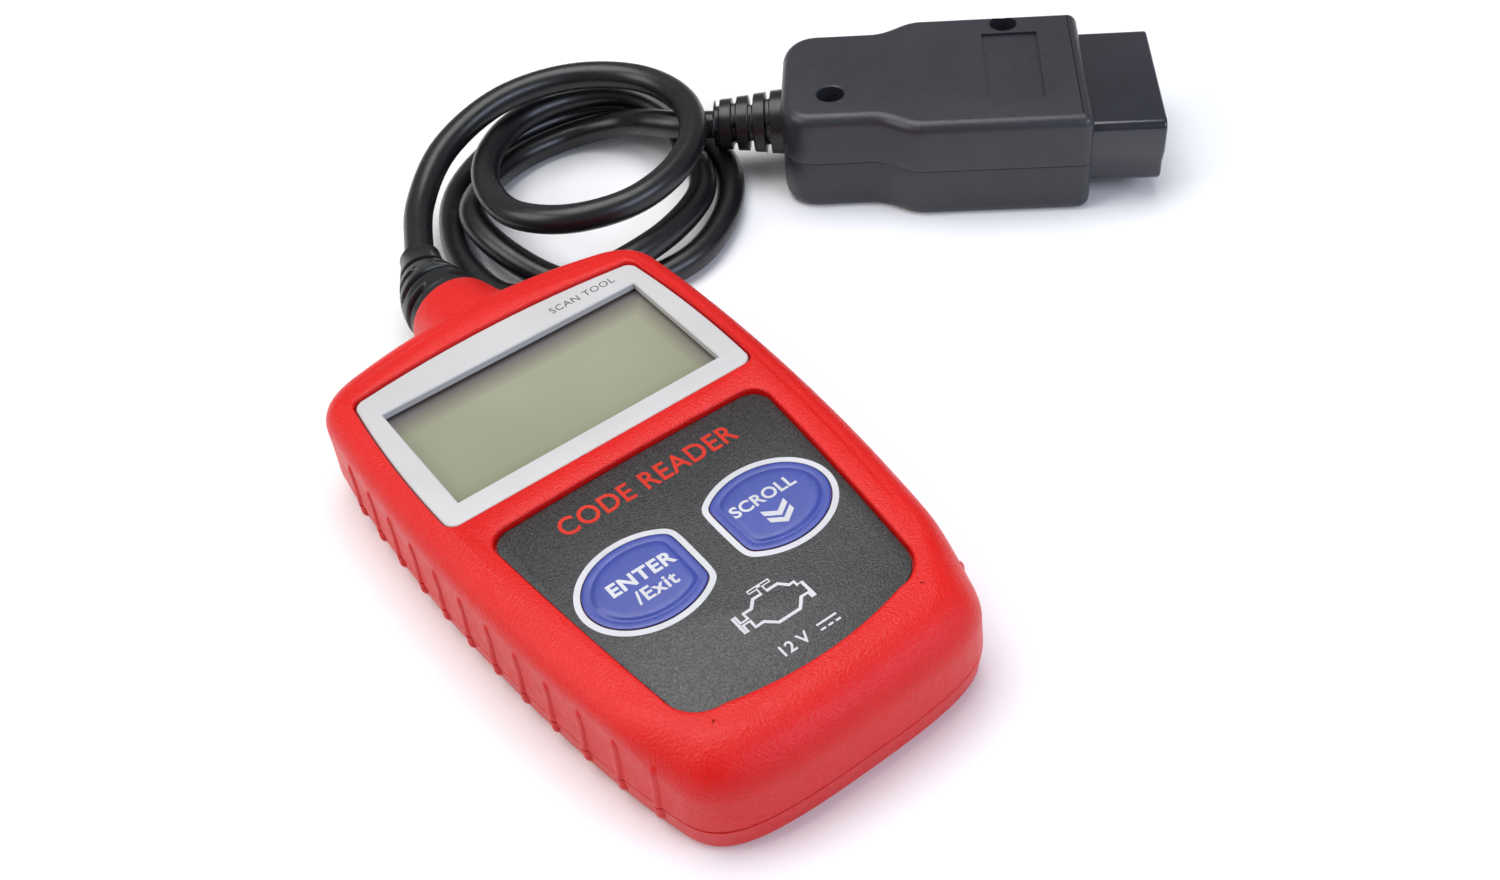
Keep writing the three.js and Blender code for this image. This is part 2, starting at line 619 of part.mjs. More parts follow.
// A ring of points around a curve, in the plane across it.
function ringAcross(curve, t, radius, sides) {
  const centre = curve.getPointAt(t);
  const along = curve.getTangentAt(t);
  const across = new THREE.Vector3(0, 0, 1).cross(along).normalize();
  const up = along.clone().cross(across);
  return Array.from({ length: sides }, (_, i) => {
    const angle = (i / sides) * 2 * Math.PI;
    const spot = centre.clone().addScaledVector(across, radius * Math.cos(angle));
    return spot.addScaledVector(up, radius * Math.sin(angle));
  });
}

// As skin(), but each end cap is a fan around the ring's own middle.
function tubeSkin(rings) {
  const count = rings[0].length;
  const points = rings.flat();
  const index = [];
  for (let ring = 0; ring + 1 < rings.length; ring += 1) {
    for (let i = 0; i < count; i += 1) {
      const a = ring * count + i;
      const b = ring * count + ((i + 1) % count);
      index.push(a, b, b + count, a, b + count, a + count);
    }
  }
  const ends = [[rings[0], 0, true], [rings.at(-1), points.length - count, false]];
  for (const [ring, offset, flip] of ends) {
    const middle = ring.reduce((sum, p) => sum.add(p), new THREE.Vector3()).divideScalar(count);
    const hub = points.push(middle) - 1;
    for (let i = 0; i < count; i += 1) {
      const [a, b] = [offset + i, offset + ((i + 1) % count)];
      index.push(...(flip ? [hub, b, a] : [hub, a, b]));
    }
  }
  const geometry = new THREE.BufferGeometry();
  const positions = points.flatMap((p) => [p.x, p.y, p.z]);
  geometry.setAttribute('position', new THREE.Float32BufferAttribute(positions, 3));
  geometry.setIndex(index);
  return geometry;
}

// ---------------------------------------------------------------- plug
// Plug frame: x = 0 at the grip's rear end, +X towards the pins, y = 0 on its centre line.
function plugOutline() {
  const corner = sampled([[bezier(0, 9.5, 0.4, 14.6, 3.4, PLUG_GRIP_HALF, 8, PLUG_GRIP_HALF), 4]]);
  const flare = sampled([
    [bezier(20, PLUG_GRIP_HALF, 25, PLUG_GRIP_HALF, 27, PLUG_HEAD_HALF, 32, PLUG_HEAD_HALF), 5],
  ]);
  const front = sampled([
    [bezier(PLUG_LENGTH - 4.4, PLUG_HEAD_HALF, PLUG_LENGTH - 1.8, PLUG_HEAD_HALF,
      PLUG_LENGTH, PLUG_HEAD_HALF - 1.8, PLUG_LENGTH, PLUG_HEAD_HALF - 4.4), 3],
  ]);
  const half = [...corner, ...flare, ...front];
  return [...half.map((p) => new THREE.Vector2(p.x, -p.y)), ...half.reverse()];
}

function plugBody() {
  const outline = plugOutline();
  const ring = (degrees, heightAt) => {
    const angle = THREE.MathUtils.degToRad(degrees);
    const z = heightAt(PLUG_EDGE * (1 - Math.sin(angle)));
    const moved = inset(outline, () => PLUG_EDGE * (1 - Math.cos(angle)));
    return moved.map((p) => new THREE.Vector3(p.x, p.y, z));
  };
  const low = [90, 55, 20].map((degrees) => ring(degrees, (depth) => depth));
  const high = [0, 30, 60, 90].map((degrees) => ring(degrees, (depth) => PLUG_HEIGHT - depth));
  return toSolid(skin([...low, ...high]));
}

// The shroud's D section, wide side up, in the plane across the plug.
function shroudSection(shrink = 0) {
  const { z0, z1, wide, narrow } = SHROUD;
  const [top, low] = [z1 - shrink, z0 + shrink];
  const [outer, inner] = [wide - shrink, narrow - shrink];
  const half = [
    [inner - SHROUD_CORNER, low], [inner, low + SHROUD_CORNER], [outer, top - SHROUD_CORNER],
    [outer - SHROUD_CHAMFER, top - SHROUD_CHAMFER], [outer - SHROUD_CORNER, top],
  ];
  return [...half, ...half.map(([y, z]) => [-y, z]).reverse()];
}

function alongPlug(section, x0, x1) {
  const shape = new THREE.Shape(section.map(([y, z]) => new THREE.Vector2(y, z)));
  const geometry = new THREE.ExtrudeGeometry(shape, { depth: x1 - x0, bevelEnabled: false });
  return geometry.rotateX(Math.PI / 2).rotateZ(Math.PI / 2).translate(x0, 0, 0);
}

function plugShells() {
  const middle = PLUG_HEIGHT / 2;
  const inner = prism(inset(plugOutline(), () => PLUG_WALL), PLUG_WALL, PLUG_HEIGHT - PLUG_WALL);
  const mouth = alongPlug(shroudSection(-GAP), SHROUD.back + 2, PLUG_LENGTH + 5);
  const reliefHole = turnedAboutX([[0, -2], [5.3, -2], [5.3, 4], [0, 4]], 0, middle);
  let body = plugBody().subtract(toSolid(inner)).subtract(toSolid(mouth)).subtract(toSolid(reliefHole));
  const { x0, x1, y0, y1, depth } = PLUG_RECESS;
  body = body.subtract(toSolid(box(x0, x1, y0, y1, PLUG_HEIGHT - depth, FAR)));
  const between = (low, high) => body.intersect(toSolid(box(-FAR, FAR, -FAR, FAR, low, high)));
  let upper = between(middle + GAP / 2, FAR);
  let lower = between(-FAR, middle - GAP / 2);
  for (const [x, y] of PLUG_SCREWS) {
    const rim = Math.min(PLUG_BOSS_R, PLUG_HEAD_HALF - Math.abs(y));
    const sink = toSolid(post(PLUG_SINK.radius, x, y, PLUG_SINK.z, FAR, 20));
    upper = upper.add(toSolid(post(rim, x, y, middle + GAP / 2, PLUG_HEIGHT - 1.5)));
    upper = upper.subtract(sink).subtract(toSolid(post(SCREW_SHANK_R + 0.5, x, y, 0, FAR)));
    lower = lower.add(toSolid(post(PLUG_POST_R, x, y, PLUG_WALL / 2, middle - GAP / 2)));
    lower = lower.subtract(toSolid(post(SCREW_SHANK_R + GAP, x, y, PLUG_SCREW_TIP_Z - 2, FAR)));
  }
  return [named('plug_upper_shell', upper, PLUG_BLACK), named('plug_lower_shell', lower, PLUG_BLACK)];
}

function plugScrew(x, y) {
  const [low, high] = PLUG_SCREW_HEAD_Z;
  const head = toSolid(post(PLUG_SCREW_HEAD_R, x, y, low, high));
  const shank = toSolid(post(SCREW_SHANK_R, x, y, PLUG_SCREW_TIP_Z, low + 0.1, 12));
  return head.add(shank).subtract(crossSlot(x, y, high - SLOT_DEPTH, high + 1));
}

function plugShroud() {
  const { back, front, wall } = SHROUD;
  const sleeve = toSolid(alongPlug(shroudSection(), SHROUD_ROOT_X, front));
  const flange = toSolid(alongPlug(shroudSection(wall + GAP), back, PLUG_LENGTH));
  const hollow = toSolid(alongPlug(shroudSection(wall), SHROUD_FLOOR_X, front + 5));
  let block = sleeve.add(flange).subtract(hollow);
  for (const number of PINS) {
    const { y, z } = pinPlace(number);
    const [wide, high] = [PIN.halfWidth + GAP, PIN.halfHeight + GAP + 0.1];
    block = block.subtract(toSolid(box(0, FAR, y - wide, y + wide, z - high, z + high)));
  }
  return block;
}

// Pins 1 to 8 run along the wide side, 9 to 16 under them.
function pinPlace(number) {
  const column = (number - 1) % 8;
  return {
    y: (column - 3.5) * PIN_PITCH,
    z: PLUG_HEIGHT / 2 + (number <= 8 ? PIN_ROW_Z : -PIN_ROW_Z),
  };
}

function plugPin(number) {
  const { y, z } = pinPlace(number);
  const { x0, x1, halfWidth, halfHeight, tip } = PIN;
  const bar = (from, to, wide, high) => toSolid(box(from, to, y - wide, y + wide, z - high, z + high));
  const blade = bar(x0, x1 - tip, halfWidth, halfHeight);
  return blade.add(bar(x1 - 2 * tip, x1, halfWidth * 0.6, halfHeight * 0.6));
}

// Ribbed strain relief behind the grip, with a flange held between the plug's shells.
function plugRelief() {
  const { radius: rim, x0, x1 } = RELIEF_FLANGE;
  const core = RELIEF_CORE_R;
  const profile = [[0, x1], [rim, x1], [rim, x0], [core, x0], [core, RELIEF_START]];
  RELIEF_RADII.forEach((radius, i) => {
    const start = RELIEF_START - i * RELIEF_PITCH;
    const end = start - RELIEF_RIB;
    profile.push([radius, start], [radius - 0.2, end], [core, end], [core, start - RELIEF_PITCH]);
  });
  profile.push([0, RELIEF_START - RELIEF_RADII.length * RELIEF_PITCH]);
  return turnedAboutX(profile.reverse(), 0, PLUG_HEIGHT / 2);
}

function plug() {
  const group = new THREE.Group();
  group.position.set(PLUG_X, PLUG_Y, 0);
  group.rotation.z = PLUG_YAW;
  group.add(...plugShells());
  PLUG_SCREWS.forEach(([x, y], i) => group.add(named(`plug_screw_${i + 1}`, plugScrew(x, y), STEEL)));
  group.add(named('connector_shroud', plugShroud(), BLACK));
  for (const number of PINS) {
    group.add(named(`contact_pin_${String(number).padStart(2, '0')}`, plugPin(number), GOLD));
  }
  group.add(named('plug_strain_relief', plugRelief(), BLACK));
  return group;
}

// ---------------------------------------------------------------- assembly
function codeReader() {
  const group = new THREE.Group();
  const body = caseBody();
  const cavity = caseCavity();
  group.add(named('front_shell', frontShell(body, cavity), RED));
  group.add(named('rear_shell', rearShell(body, cavity), RED));
  const { half, bottom, top, z0, z1 } = LABEL_PLATE;
  group.add(named('rear_label', box(-half, half, bottom, top, z0, z1), LABEL));
  SCREW_SPOTS.forEach(([x, y], i) => group.add(named(`case_screw_${i + 1}`, caseScrew(x, y), STEEL)));
  group.add(...displayParts());
  group.add(named('keypad_overlay', keypadOverlay(), CHARCOAL));
  group.add(named('enter_button', keyButton(-1), BLUE));
  group.add(named('scroll_button', keyButton(1), BLUE));
  group.add(named('enter_dome', snapDome(-1), STEEL));
  group.add(named('scroll_dome', snapDome(1), STEEL));
  group.add(...electronics());
  group.add(named('cord_boot', boot(), BLACK));
  group.add(named('cord', leadTube(), BLACK));
  group.add(plug());
  return group;
}

export default codeReader();
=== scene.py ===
"""Handheld two-key diagnostic code reader with its coiled lead and 16-way vehicle plug.

Lengths are in millimetres until a mesh is made. The unit lies on its back: z = 0 is the floor,
+Y points to the end where the lead leaves, and x = 0 is the unit's middle line.
"""

import json
import math

import bmesh
import bpy
from mathutils import Matrix, Vector


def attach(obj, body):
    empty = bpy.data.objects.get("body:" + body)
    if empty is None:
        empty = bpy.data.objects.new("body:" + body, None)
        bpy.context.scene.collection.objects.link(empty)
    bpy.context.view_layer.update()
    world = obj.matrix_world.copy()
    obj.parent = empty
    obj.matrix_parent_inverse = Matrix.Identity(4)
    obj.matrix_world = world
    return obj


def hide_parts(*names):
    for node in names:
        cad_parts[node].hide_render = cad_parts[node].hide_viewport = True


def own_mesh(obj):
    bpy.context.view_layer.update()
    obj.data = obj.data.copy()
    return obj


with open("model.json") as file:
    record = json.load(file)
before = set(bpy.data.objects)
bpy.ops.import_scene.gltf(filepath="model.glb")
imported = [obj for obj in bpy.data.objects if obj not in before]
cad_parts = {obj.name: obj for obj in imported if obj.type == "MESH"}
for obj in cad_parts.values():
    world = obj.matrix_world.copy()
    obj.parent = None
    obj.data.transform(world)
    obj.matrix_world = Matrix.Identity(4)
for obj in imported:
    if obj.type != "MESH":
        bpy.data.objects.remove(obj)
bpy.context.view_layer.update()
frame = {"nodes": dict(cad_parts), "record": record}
nodes = frame["nodes"]

MM = 0.001
GAP = 0.3

# ------------------------------------------------------------------ driving dimensions
CASE_HEIGHT = 22
CASE_BOTTOM_Y = -68.5
CASE_TOP_Y = 59.5
NECK_END_Y = 68
NECK_Z = CASE_HEIGHT / 2
PARTING_Z = 6.5
WALL = 2.2
EDGE_RADIUS = 4.6
HEEL_RADIUS = 9
BACK_RADIUS = 2.2
ROOF_Z = 18.6
CAVITY_BEND_Z = 12
DRAFT = 0.3                          # how far the side walls lean in
EASE = 0.12                          # easing of the parting edges
FACE_STEP = 0.35                     # the face stands this much proud of its rounded border
FACE_BORDER = ((0.35, 0.34), (0.65, 0.74), (1.1, 1))
# Distances below the middle between which the heel's rounding and wall come in, and the step fades.
HEEL_BLEND, HEEL_WALL_BLEND, STEP_BLEND = (44, 62), (40, 62), (30, 48)
HEEL_WALL = 4
RIB_COUNT, RIB_PITCH, RIB_FIRST_Y = 12, 8.3, 37
RIB_RADIUS, RIB_SINK = 0.95, 0.45
RIB_LOW_Z, RIB_HIGH_Z = 2.6, 17.4
RIB_FADE_LOW, RIB_FADE_HIGH = 0.45, 0.78
SHELL_WINDOW = (-30.6, 30.6, 8.6, 41.8)
LABEL_RECESS, LABEL_RECESS_DEPTH = (-21, 21, -32, 22), 0.6
FACE_CUT_Z, FAR = 15, 40             # reach of the tools that cut through the face
WELD = 1e-7

BEZEL = dict(bottom=5.5, top=48.2, crown=2.1, sag=0, half=32.1, bulge=1, taper=-0.8, low=2.6, high=2.6)
BEZEL_SEAT_Z, BEZEL_TOP_Z, BEZEL_EDGE = 19.6, 21.4, 0.35
WINDOW_HALF, WINDOW_BOTTOM, WINDOW_TOP = 28.5, 10.5, 39.9
WINDOW_EASE = 0.22
PANEL = dict(bottom=-56.9, top=-0.3, crown=0.5, sag=2.4, half=26.2, bulge=0.5, taper=3.1, low=7, high=4)
PANEL_SEAT_Z, PANEL_TOP_Z = 20.2, 20.9
KEY_X, KEY_Y = 12.9, -26
KEY_A, KEY_B, KEY_CUT = 11.5, 9.2, 8.9
KEY_HOLE_INSET = 1.2
KEY_TOP_Z = 21.6
PRINT_HEIGHT, PRINT_HALF = 0.04, 0.03
LABEL_Z = KEY_TOP_Z - PRINT_HEIGHT
DOME_FOOT_Z = 12.1
DOME_PROFILE = [(4, DOME_FOOT_Z), (4, 12.22), (3.7, 12.4), (3, 12.62), (2.2, 12.8), (1.4, 12.9),
                (0.6, 12.94)]
SCREW_SPOTS = [(30, 49), (-30, 49), (20.5, -57), (-20.5, -57)]
SCREW_SINK = [(3.5, -1), (3.4, 0.0), (2.9, 0.45), (2.9, 5)]
SCREW_BOSS_R, SCREW_BORE_R = 3.9, 1.6

CORD_RADIUS = 3.2
PLUG_X, PLUG_Y, PLUG_YAW = 93.2, 75.3, math.radians(-39.3)
PLUG_HEIGHT, PLUG_LENGTH = 24.2, 68.5
PLUG_GRIP_HALF, PLUG_HEAD_HALF, PLUG_EDGE = 17.8, 22.4, 2.6
PLUG_SCREWS = [(11.3, -7.8), (51.3, 18.4)]
PLUG_SINK = [(3.1, 16.4), (3.1, PLUG_HEIGHT - 0.25), (3.45, PLUG_HEIGHT + 0.01), (3.45, FAR)]
PLUG_RECESS, PLUG_RECESS_DEPTH = (46, 58.6, -13, 14), 0.6
SHROUD_CORNER, SHROUD_EDGE = 2.2, 0.7
SHOULDER_SHARE, SHOULDER_RISE = 0.42, 2.2
RELIEF_HOLE_R = 5.4
SHROUD = dict(z0=3.7, z1=20.5, wide=19.5, narrow=17.6, front=84.5, back=64, wall=1.5)
PLUG_PLACE = Matrix.Translation((PLUG_X * MM, PLUG_Y * MM, 0)) @ Matrix.Rotation(PLUG_YAW, 4, "Z")

# ------------------------------------------------------------------ camera
EYE = (-86.3, -182.1, 222.3)
LOOK_AZIMUTH, LOOK_DOWN, ROLL = 31.81, 45.0, -6.8
LENS, SENSOR = 38.04, 36


def make_camera():
    azimuth, down, roll = (math.radians(a) for a in (LOOK_AZIMUTH, LOOK_DOWN, ROLL))
    look = Vector((math.sin(azimuth) * math.cos(down), math.cos(azimuth) * math.cos(down), -math.sin(down)))
    level = look.cross(Vector((0, 0, 1))).normalized()
    right = level * math.cos(roll) + level.cross(look) * math.sin(roll)
    up = right.cross(look)
    turn = Matrix((right, up, -look)).transposed()
    camera = bpy.data.objects.new("camera", bpy.data.cameras.new("camera"))
    bpy.context.scene.collection.objects.link(camera)
    camera.matrix_world = Matrix.Translation(Vector(EYE) * MM) @ turn.to_4x4()
    camera.data.lens = LENS
    camera.data.sensor_width = SENSOR
    camera.data.clip_start = 0.01
    camera.data.clip_end = 20
    bpy.context.scene.camera = camera


# ------------------------------------------------------------------ materials
class Nodes:
    """A short way to write a node material."""

    def __init__(self, name):
        self.material = bpy.data.materials.new(name)
        self.material.use_nodes = True
        self.tree = self.material.node_tree
        self.shader = self.tree.nodes["Principled BSDF"]
        self.place = self.add("ShaderNodeTexCoord").outputs["Object"]

    def add(self, kind, **settings):
        node = self.tree.nodes.new(kind)
        for key, value in settings.items():
            setattr(node, key, value)
        return node

    def link(self, a, b):
        self.tree.links.new(a, b)

    def noise(self, size_mm, detail=2.0, rough=0.5, stretch=None):
        node = self.add("ShaderNodeTexNoise")
        node.inputs["Scale"].default_value = 1 / (size_mm * MM)
        node.inputs["Detail"].default_value = detail
        node.inputs["Roughness"].default_value = rough
        place = self.place
        if stretch:
            mapping = self.add("ShaderNodeMapping")
            mapping.inputs["Scale"].default_value = stretch
            self.link(place, mapping.inputs["Vector"])
            place = mapping.outputs["Vector"]
        self.link(place, node.inputs["Vector"])
        return node.outputs["Fac"]

    def ramp(self, source, low, high, start=0.35, end=0.65):
        node = self.add("ShaderNodeValToRGB")
        node.color_ramp.elements[0].position = start
        node.color_ramp.elements[1].position = end
        node.color_ramp.elements[0].color = (*low, 1)
        node.color_ramp.elements[1].color = (*high, 1)
        self.link(source, node.inputs["Fac"])
        return node.outputs["Color"]

    def span(self, source, low, high, start=0.3, end=0.7):
        node = self.add("ShaderNodeMapRange")
        node.inputs["From Min"].default_value = start
        node.inputs["From Max"].default_value = end
        node.inputs["To Min"].default_value = low
        node.inputs["To Max"].default_value = high
        self.link(source, node.inputs["Value"])
        return node.outputs["Result"]

    def colour(self, source):
        self.link(source, self.shader.inputs["Base Color"])

    def roughness(self, source):
        self.link(source, self.shader.inputs["Roughness"])

    def bump(self, source, depth_mm):
        node = self.add("ShaderNodeBump")
        node.inputs["Strength"].default_value = 1
        node.inputs["Distance"].default_value = depth_mm * MM
        self.link(source, node.inputs["Height"])
        self.link(node.outputs["Normal"], self.shader.inputs["Normal"])

    def set(self, **values):
        for key, value in values.items():
            self.shader.inputs[key.replace("_", " ")].default_value = value


def plastic(name, dark, light, rough, grain_mm, grain_depth, patch_mm=14, specular=0.5, coat=0.0):
    m = Nodes(name)
    m.colour(m.ramp(m.noise(patch_mm, 3), dark, light, 0.3, 0.7))
    m.roughness(m.span(m.noise(grain_mm * 5, 3), rough[0], rough[1]))
    m.bump(m.noise(grain_mm, 2.5, 0.6), grain_depth)
    m.set(Specular_IOR_Level=specular, Coat_Weight=coat, Coat_Roughness=0.25)
    return m.material


def metal(name, dark, light, rough, brush):
    m = Nodes(name)
    m.colour(m.ramp(m.noise(0.8, 3, stretch=brush), dark, light))
    m.roughness(m.span(m.noise(0.25, 2, stretch=brush), rough[0], rough[1]))
    m.bump(m.noise(0.2, 2, stretch=brush), 0.004)
    m.set(Metallic=1.0)
    return m.material


def keypad_film():
    """A printed charcoal film with a sparkling grain."""
    m = Nodes("keypad_film")
    m.colour(m.ramp(m.noise(0.27, 2, 0.7), (0.008, 0.008, 0.0083), (0.058, 0.058, 0.060), 0.40, 0.72))
    m.roughness(m.span(m.noise(0.5, 2), 0.26, 0.50))
    m.bump(m.noise(0.42, 2, 0.6), 0.09)
    m.set(Specular_IOR_Level=0.5)
    return m.material


def display_glass():
    """A blank display: green-grey, with a painted shadow that makes it darker and warmer towards its top and
    right edges.
    """
    m = Nodes("display_glass")
    tint = m.ramp(m.noise(38, 1), (0.245, 0.248, 0.165), (0.300, 0.303, 0.212), 0.3, 0.7)
    axes = m.add("ShaderNodeSeparateXYZ")
    m.link(m.place, axes.inputs[0])
    # Painted shadow: near the window's top edge and its right edge the glass colour is mixed towards a dark
    # mauve-grey.
    top = m.span(axes.outputs["Y"], 0, 1, (WINDOW_TOP - 6.5) * MM, (WINDOW_TOP - 1.2) * MM)
    side = m.span(axes.outputs["X"], 0, 0.8, (WINDOW_HALF - 4) * MM, WINDOW_HALF * MM)
    painted_shadow = m.add("ShaderNodeMath", operation="MAXIMUM")
    m.link(top, painted_shadow.inputs[0])
    m.link(side, painted_shadow.inputs[1])
    blend = m.add("ShaderNodeMix", data_type="RGBA")
    m.link(painted_shadow.outputs[0], blend.inputs["Factor"])
    m.link(tint, blend.inputs[6])
    # the dark mauve-grey of the painted shadow
    blend.inputs[7].default_value = (0.125, 0.108, 0.102, 1)
    m.colour(blend.outputs[2])
    m.roughness(m.span(m.noise(9, 2), 0.16, 0.24))
    m.bump(m.noise(0.9, 1), 0.0015)
    m.set(Coat_Weight=0.3, Coat_Roughness=0.08)
    return m.material


PLASTICS = {
    # name: darkest and lightest colour, roughness range, grain size and depth in mm, other settings
    "red_case": ((0.60, 0.0035, 0.0025), (0.66, 0.0055, 0.0038), (0.30, 0.42), 0.50, 0.20,
                 dict(patch_mm=30, specular=0.34)),
    "pale_bezel": ((0.50, 0.495, 0.49), (0.54, 0.535, 0.53), (0.30, 0.40), 0.30, 0.006, {}),
    "blue_key": ((0.036, 0.056, 0.275), (0.046, 0.068, 0.325), (0.26, 0.38), 0.24, 0.010,
                 dict(patch_mm=6)),
    "black_rubber": ((0.0050, 0.0050, 0.0062), (0.0075, 0.0075, 0.0090), (0.27, 0.36), 0.35, 0.010,
                     dict(patch_mm=9)),
    "plug_plastic": ((0.015, 0.0155, 0.021), (0.021, 0.0215, 0.0285), (0.36, 0.46), 0.36, 0.050,
                     dict(patch_mm=18, coat=0.12)),
    "shroud_plastic": ((0.010, 0.011, 0.018), (0.014, 0.015, 0.024), (0.14, 0.20), 0.35, 0.005,
                       dict(coat=0.4)),
    "board_laminate": ((0.010, 0.10, 0.035), (0.018, 0.14, 0.05), (0.3, 0.4), 0.8, 0.01, {}),
    "component_black": ((0.012, 0.012, 0.013), (0.02, 0.02, 0.022), (0.4, 0.55), 0.2, 0.01, {}),
    "milky_plastic": ((0.66, 0.70, 0.64), (0.74, 0.78, 0.72), (0.3, 0.4), 1.0, 0.01, {}),
    "rear_label": ((0.52, 0.52, 0.53), (0.60, 0.60, 0.61), (0.35, 0.5), 0.6, 0.008, {}),
    "white_print": ((0.50, 0.50, 0.52), (0.60, 0.60, 0.62), (0.35, 0.48), 0.34, 0.03, {}),
    "orange_print": ((0.52, 0.018, 0.006), (0.62, 0.028, 0.009), (0.40, 0.52), 0.34, 0.03,
                     dict(specular=0.25)),
    "grey_print": ((0.07, 0.07, 0.075), (0.10, 0.10, 0.105), (0.35, 0.5), 0.3, 0.01, {}),
    "floor": ((0.86, 0.86, 0.87), (0.90, 0.90, 0.905), (0.6, 0.8), 2.0, 0.005, dict(patch_mm=400)),
}
METALS = {
    # name: darkest and lightest colour, roughness range, stretch of the brushing
    "bright_steel": ((0.42, 0.43, 0.45), (0.60, 0.61, 0.63), (0.22, 0.38), (6, 1, 1)),
    "contact_brass": ((0.66, 0.45, 0.16), (0.80, 0.60, 0.26), (0.18, 0.30), (1, 5, 1)),
}

def make_materials():
    made = {name: plastic(name, *facts, **others) for name, (*facts, others) in PLASTICS.items()}
    made.update({name: metal(name, *facts) for name, facts in METALS.items()})
    return {**made, "lcd": display_glass(), "keypad_film": keypad_film()}


# ------------------------------------------------------------------ mesh tools
def make_piece(name, points, faces, material, body, place=None, sharp=38):
    """A smooth-shaded mesh piece from points in millimetres."""
    mesh = bpy.data.meshes.new(name)
    mesh.from_pydata([Vector(p) * MM for p in points], [], faces)
    mesh.validate()
    if place is not None:
        mesh.transform(place)
    return dress(bpy.data.objects.new(name, mesh), material, body, sharp)


def dress(piece, material, body, sharp=38):
    """Finishes a piece: welded, smooth, with its material and on its body."""
    if piece.name not in bpy.context.scene.collection.objects:
        bpy.context.scene.collection.objects.link(piece)
    tidy = bmesh.new()
    tidy.from_mesh(piece.data)
    bmesh.ops.remove_doubles(tidy, verts=tidy.verts, dist=WELD)
    bmesh.ops.recalc_face_normals(tidy, faces=tidy.faces)
    tidy.to_mesh(piece.data)
    tidy.free()
    piece.data.materials.clear()
    piece.data.materials.append(materials[material])
    piece.data.shade_smooth()
    piece.data.set_sharp_from_angle(angle=math.radians(sharp))
    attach(piece, body)
    return piece


def loft(rings, closed=False):
    """Points and faces of a skin through rings of equal count, capped, or joined end to end."""
    count = len(rings[0])
    points = [p for ring in rings for p in ring]
    faces = []
    spans = len(rings) if closed else len(rings) - 1
    for r in range(spans):
        a, b = r * count, ((r + 1) % len(rings)) * count
        for i in range(count):
            j = (i + 1) % count
            faces.append((a + i, a + j, b + j, b + i))
    if not closed:
        faces.append(tuple(reversed(range(count))))
        faces.append(tuple(range(len(points) - count, len(points))))
    return points, faces


def bezier(*xy, steps):
    (x0, y0, x1, y1, x2, y2, x3, y3) = xy
    out = []
    for i in range(steps + 1):
        t = i / steps
        s = 1 - t
        weights = (s ** 3, 3 * s * s * t, 3 * s * t * t, t ** 3)
        out.append((sum(w * v for w, v in zip(weights, (x0, x1, x2, x3))),
                    sum(w * v for w, v in zip(weights, (y0, y1, y2, y3)))))
    return out


def chain(*runs):
    out = list(runs[0])
    for run in runs[1:]:
        out += run[1:]
    return out


def mirrored(half):
    """Closes a half outline, which runs up the +X side from axis to axis."""
    inner = [p for p in half if p[0] > 1e-6]
    return [half[0], *inner, half[-1], *[(-x, y) for x, y in reversed(inner)]]


def inset(points, distance):
    """Moves each point of a counter-clockwise outline inwards by its own distance."""
    out = []
    for i, (x, y) in enumerate(points):
        bx, by = points[i - 1]
        ax, ay = points[(i + 1) % len(points)]
        length = math.hypot(ax - bx, ay - by) or 1
        d = distance(x, y) if callable(distance) else distance
        out.append((x + (by - ay) / length * d, y + (ax - bx) / length * d))
    return out


def lift(outline, z):
    return [(x, y, z) for x, y in outline]


def smoothstep(value, low, high):
    t = min(max((value - low) / (high - low), 0), 1)
    return t * t * (3 - 2 * t)

def quarter(steps, first=0):
    """The angles of a quarter turn."""
    return [i / steps * math.pi / 2 for i in range(first, steps + 1)]

def full_turn(sides):
    """The angles of a whole turn."""
    return [2 * math.pi * i / sides for i in range(sides)]


def cut(piece, tool_points, tool_faces, mode="DIFFERENCE"):
    """Joins or cuts a piece with a tool solid, which is then thrown away."""
    tool = raw_piece("tool", tool_points, tool_faces)
    step = piece.modifiers.new("step", "BOOLEAN")
    step.object = tool
    step.operation = mode
    step.solver = "MANIFOLD"
    shapes = bpy.context.evaluated_depsgraph_get()
    result = bpy.data.meshes.new_from_object(piece.evaluated_get(shapes))
    piece.modifiers.clear()
    piece.data = result
    bpy.data.objects.remove(tool)


def raw_piece(name, points, faces):
    """A solid still to be cut; dress() finishes it."""
    mesh = bpy.data.meshes.new(name)
    mesh.from_pydata([Vector(p) * MM for p in points], [], faces)
    tidy = bmesh.new()
    tidy.from_mesh(mesh)
    bmesh.ops.recalc_face_normals(tidy, faces=tidy.faces)
    tidy.to_mesh(mesh)
    tidy.free()
    piece = bpy.data.objects.new(name, mesh)
    bpy.context.scene.collection.objects.link(piece)
    return piece


def drum(x, y, stations):
    """A turned solid about a vertical axis; stations are (radius, z)."""
    return loft([[(x + r * math.cos(a), y + r * math.sin(a), z) for a in full_turn(48)]
                 for r, z in stations])


def slab(x0, x1, y0, y1, z0, z1):
    ring = [(x0, y0), (x1, y0), (x1, y1), (x0, y1)]
    return loft([lift(ring, z0), lift(ring, z1)])


# ------------------------------------------------------------------ outlines
def case_outline():
    return mirrored(chain(
        bezier(0, CASE_BOTTOM_Y, 9, CASE_BOTTOM_Y, 13, -68.3, 18, -67.7, steps=8),
        bezier(18, -67.7, 25.4, -66.6, 29.4, -64.4, 30.9, -58.5, steps=20),
        bezier(30.9, -58.5, 37.7, -34, 40.8, 12, 38, 46, steps=48),
        bezier(38, 46, 37.4, 51.5, 33.5, 54.6, 27, 56, steps=20),
        bezier(27, 56, 18, 58.3, 9, CASE_TOP_Y, 0, CASE_TOP_Y, steps=12),
    ))


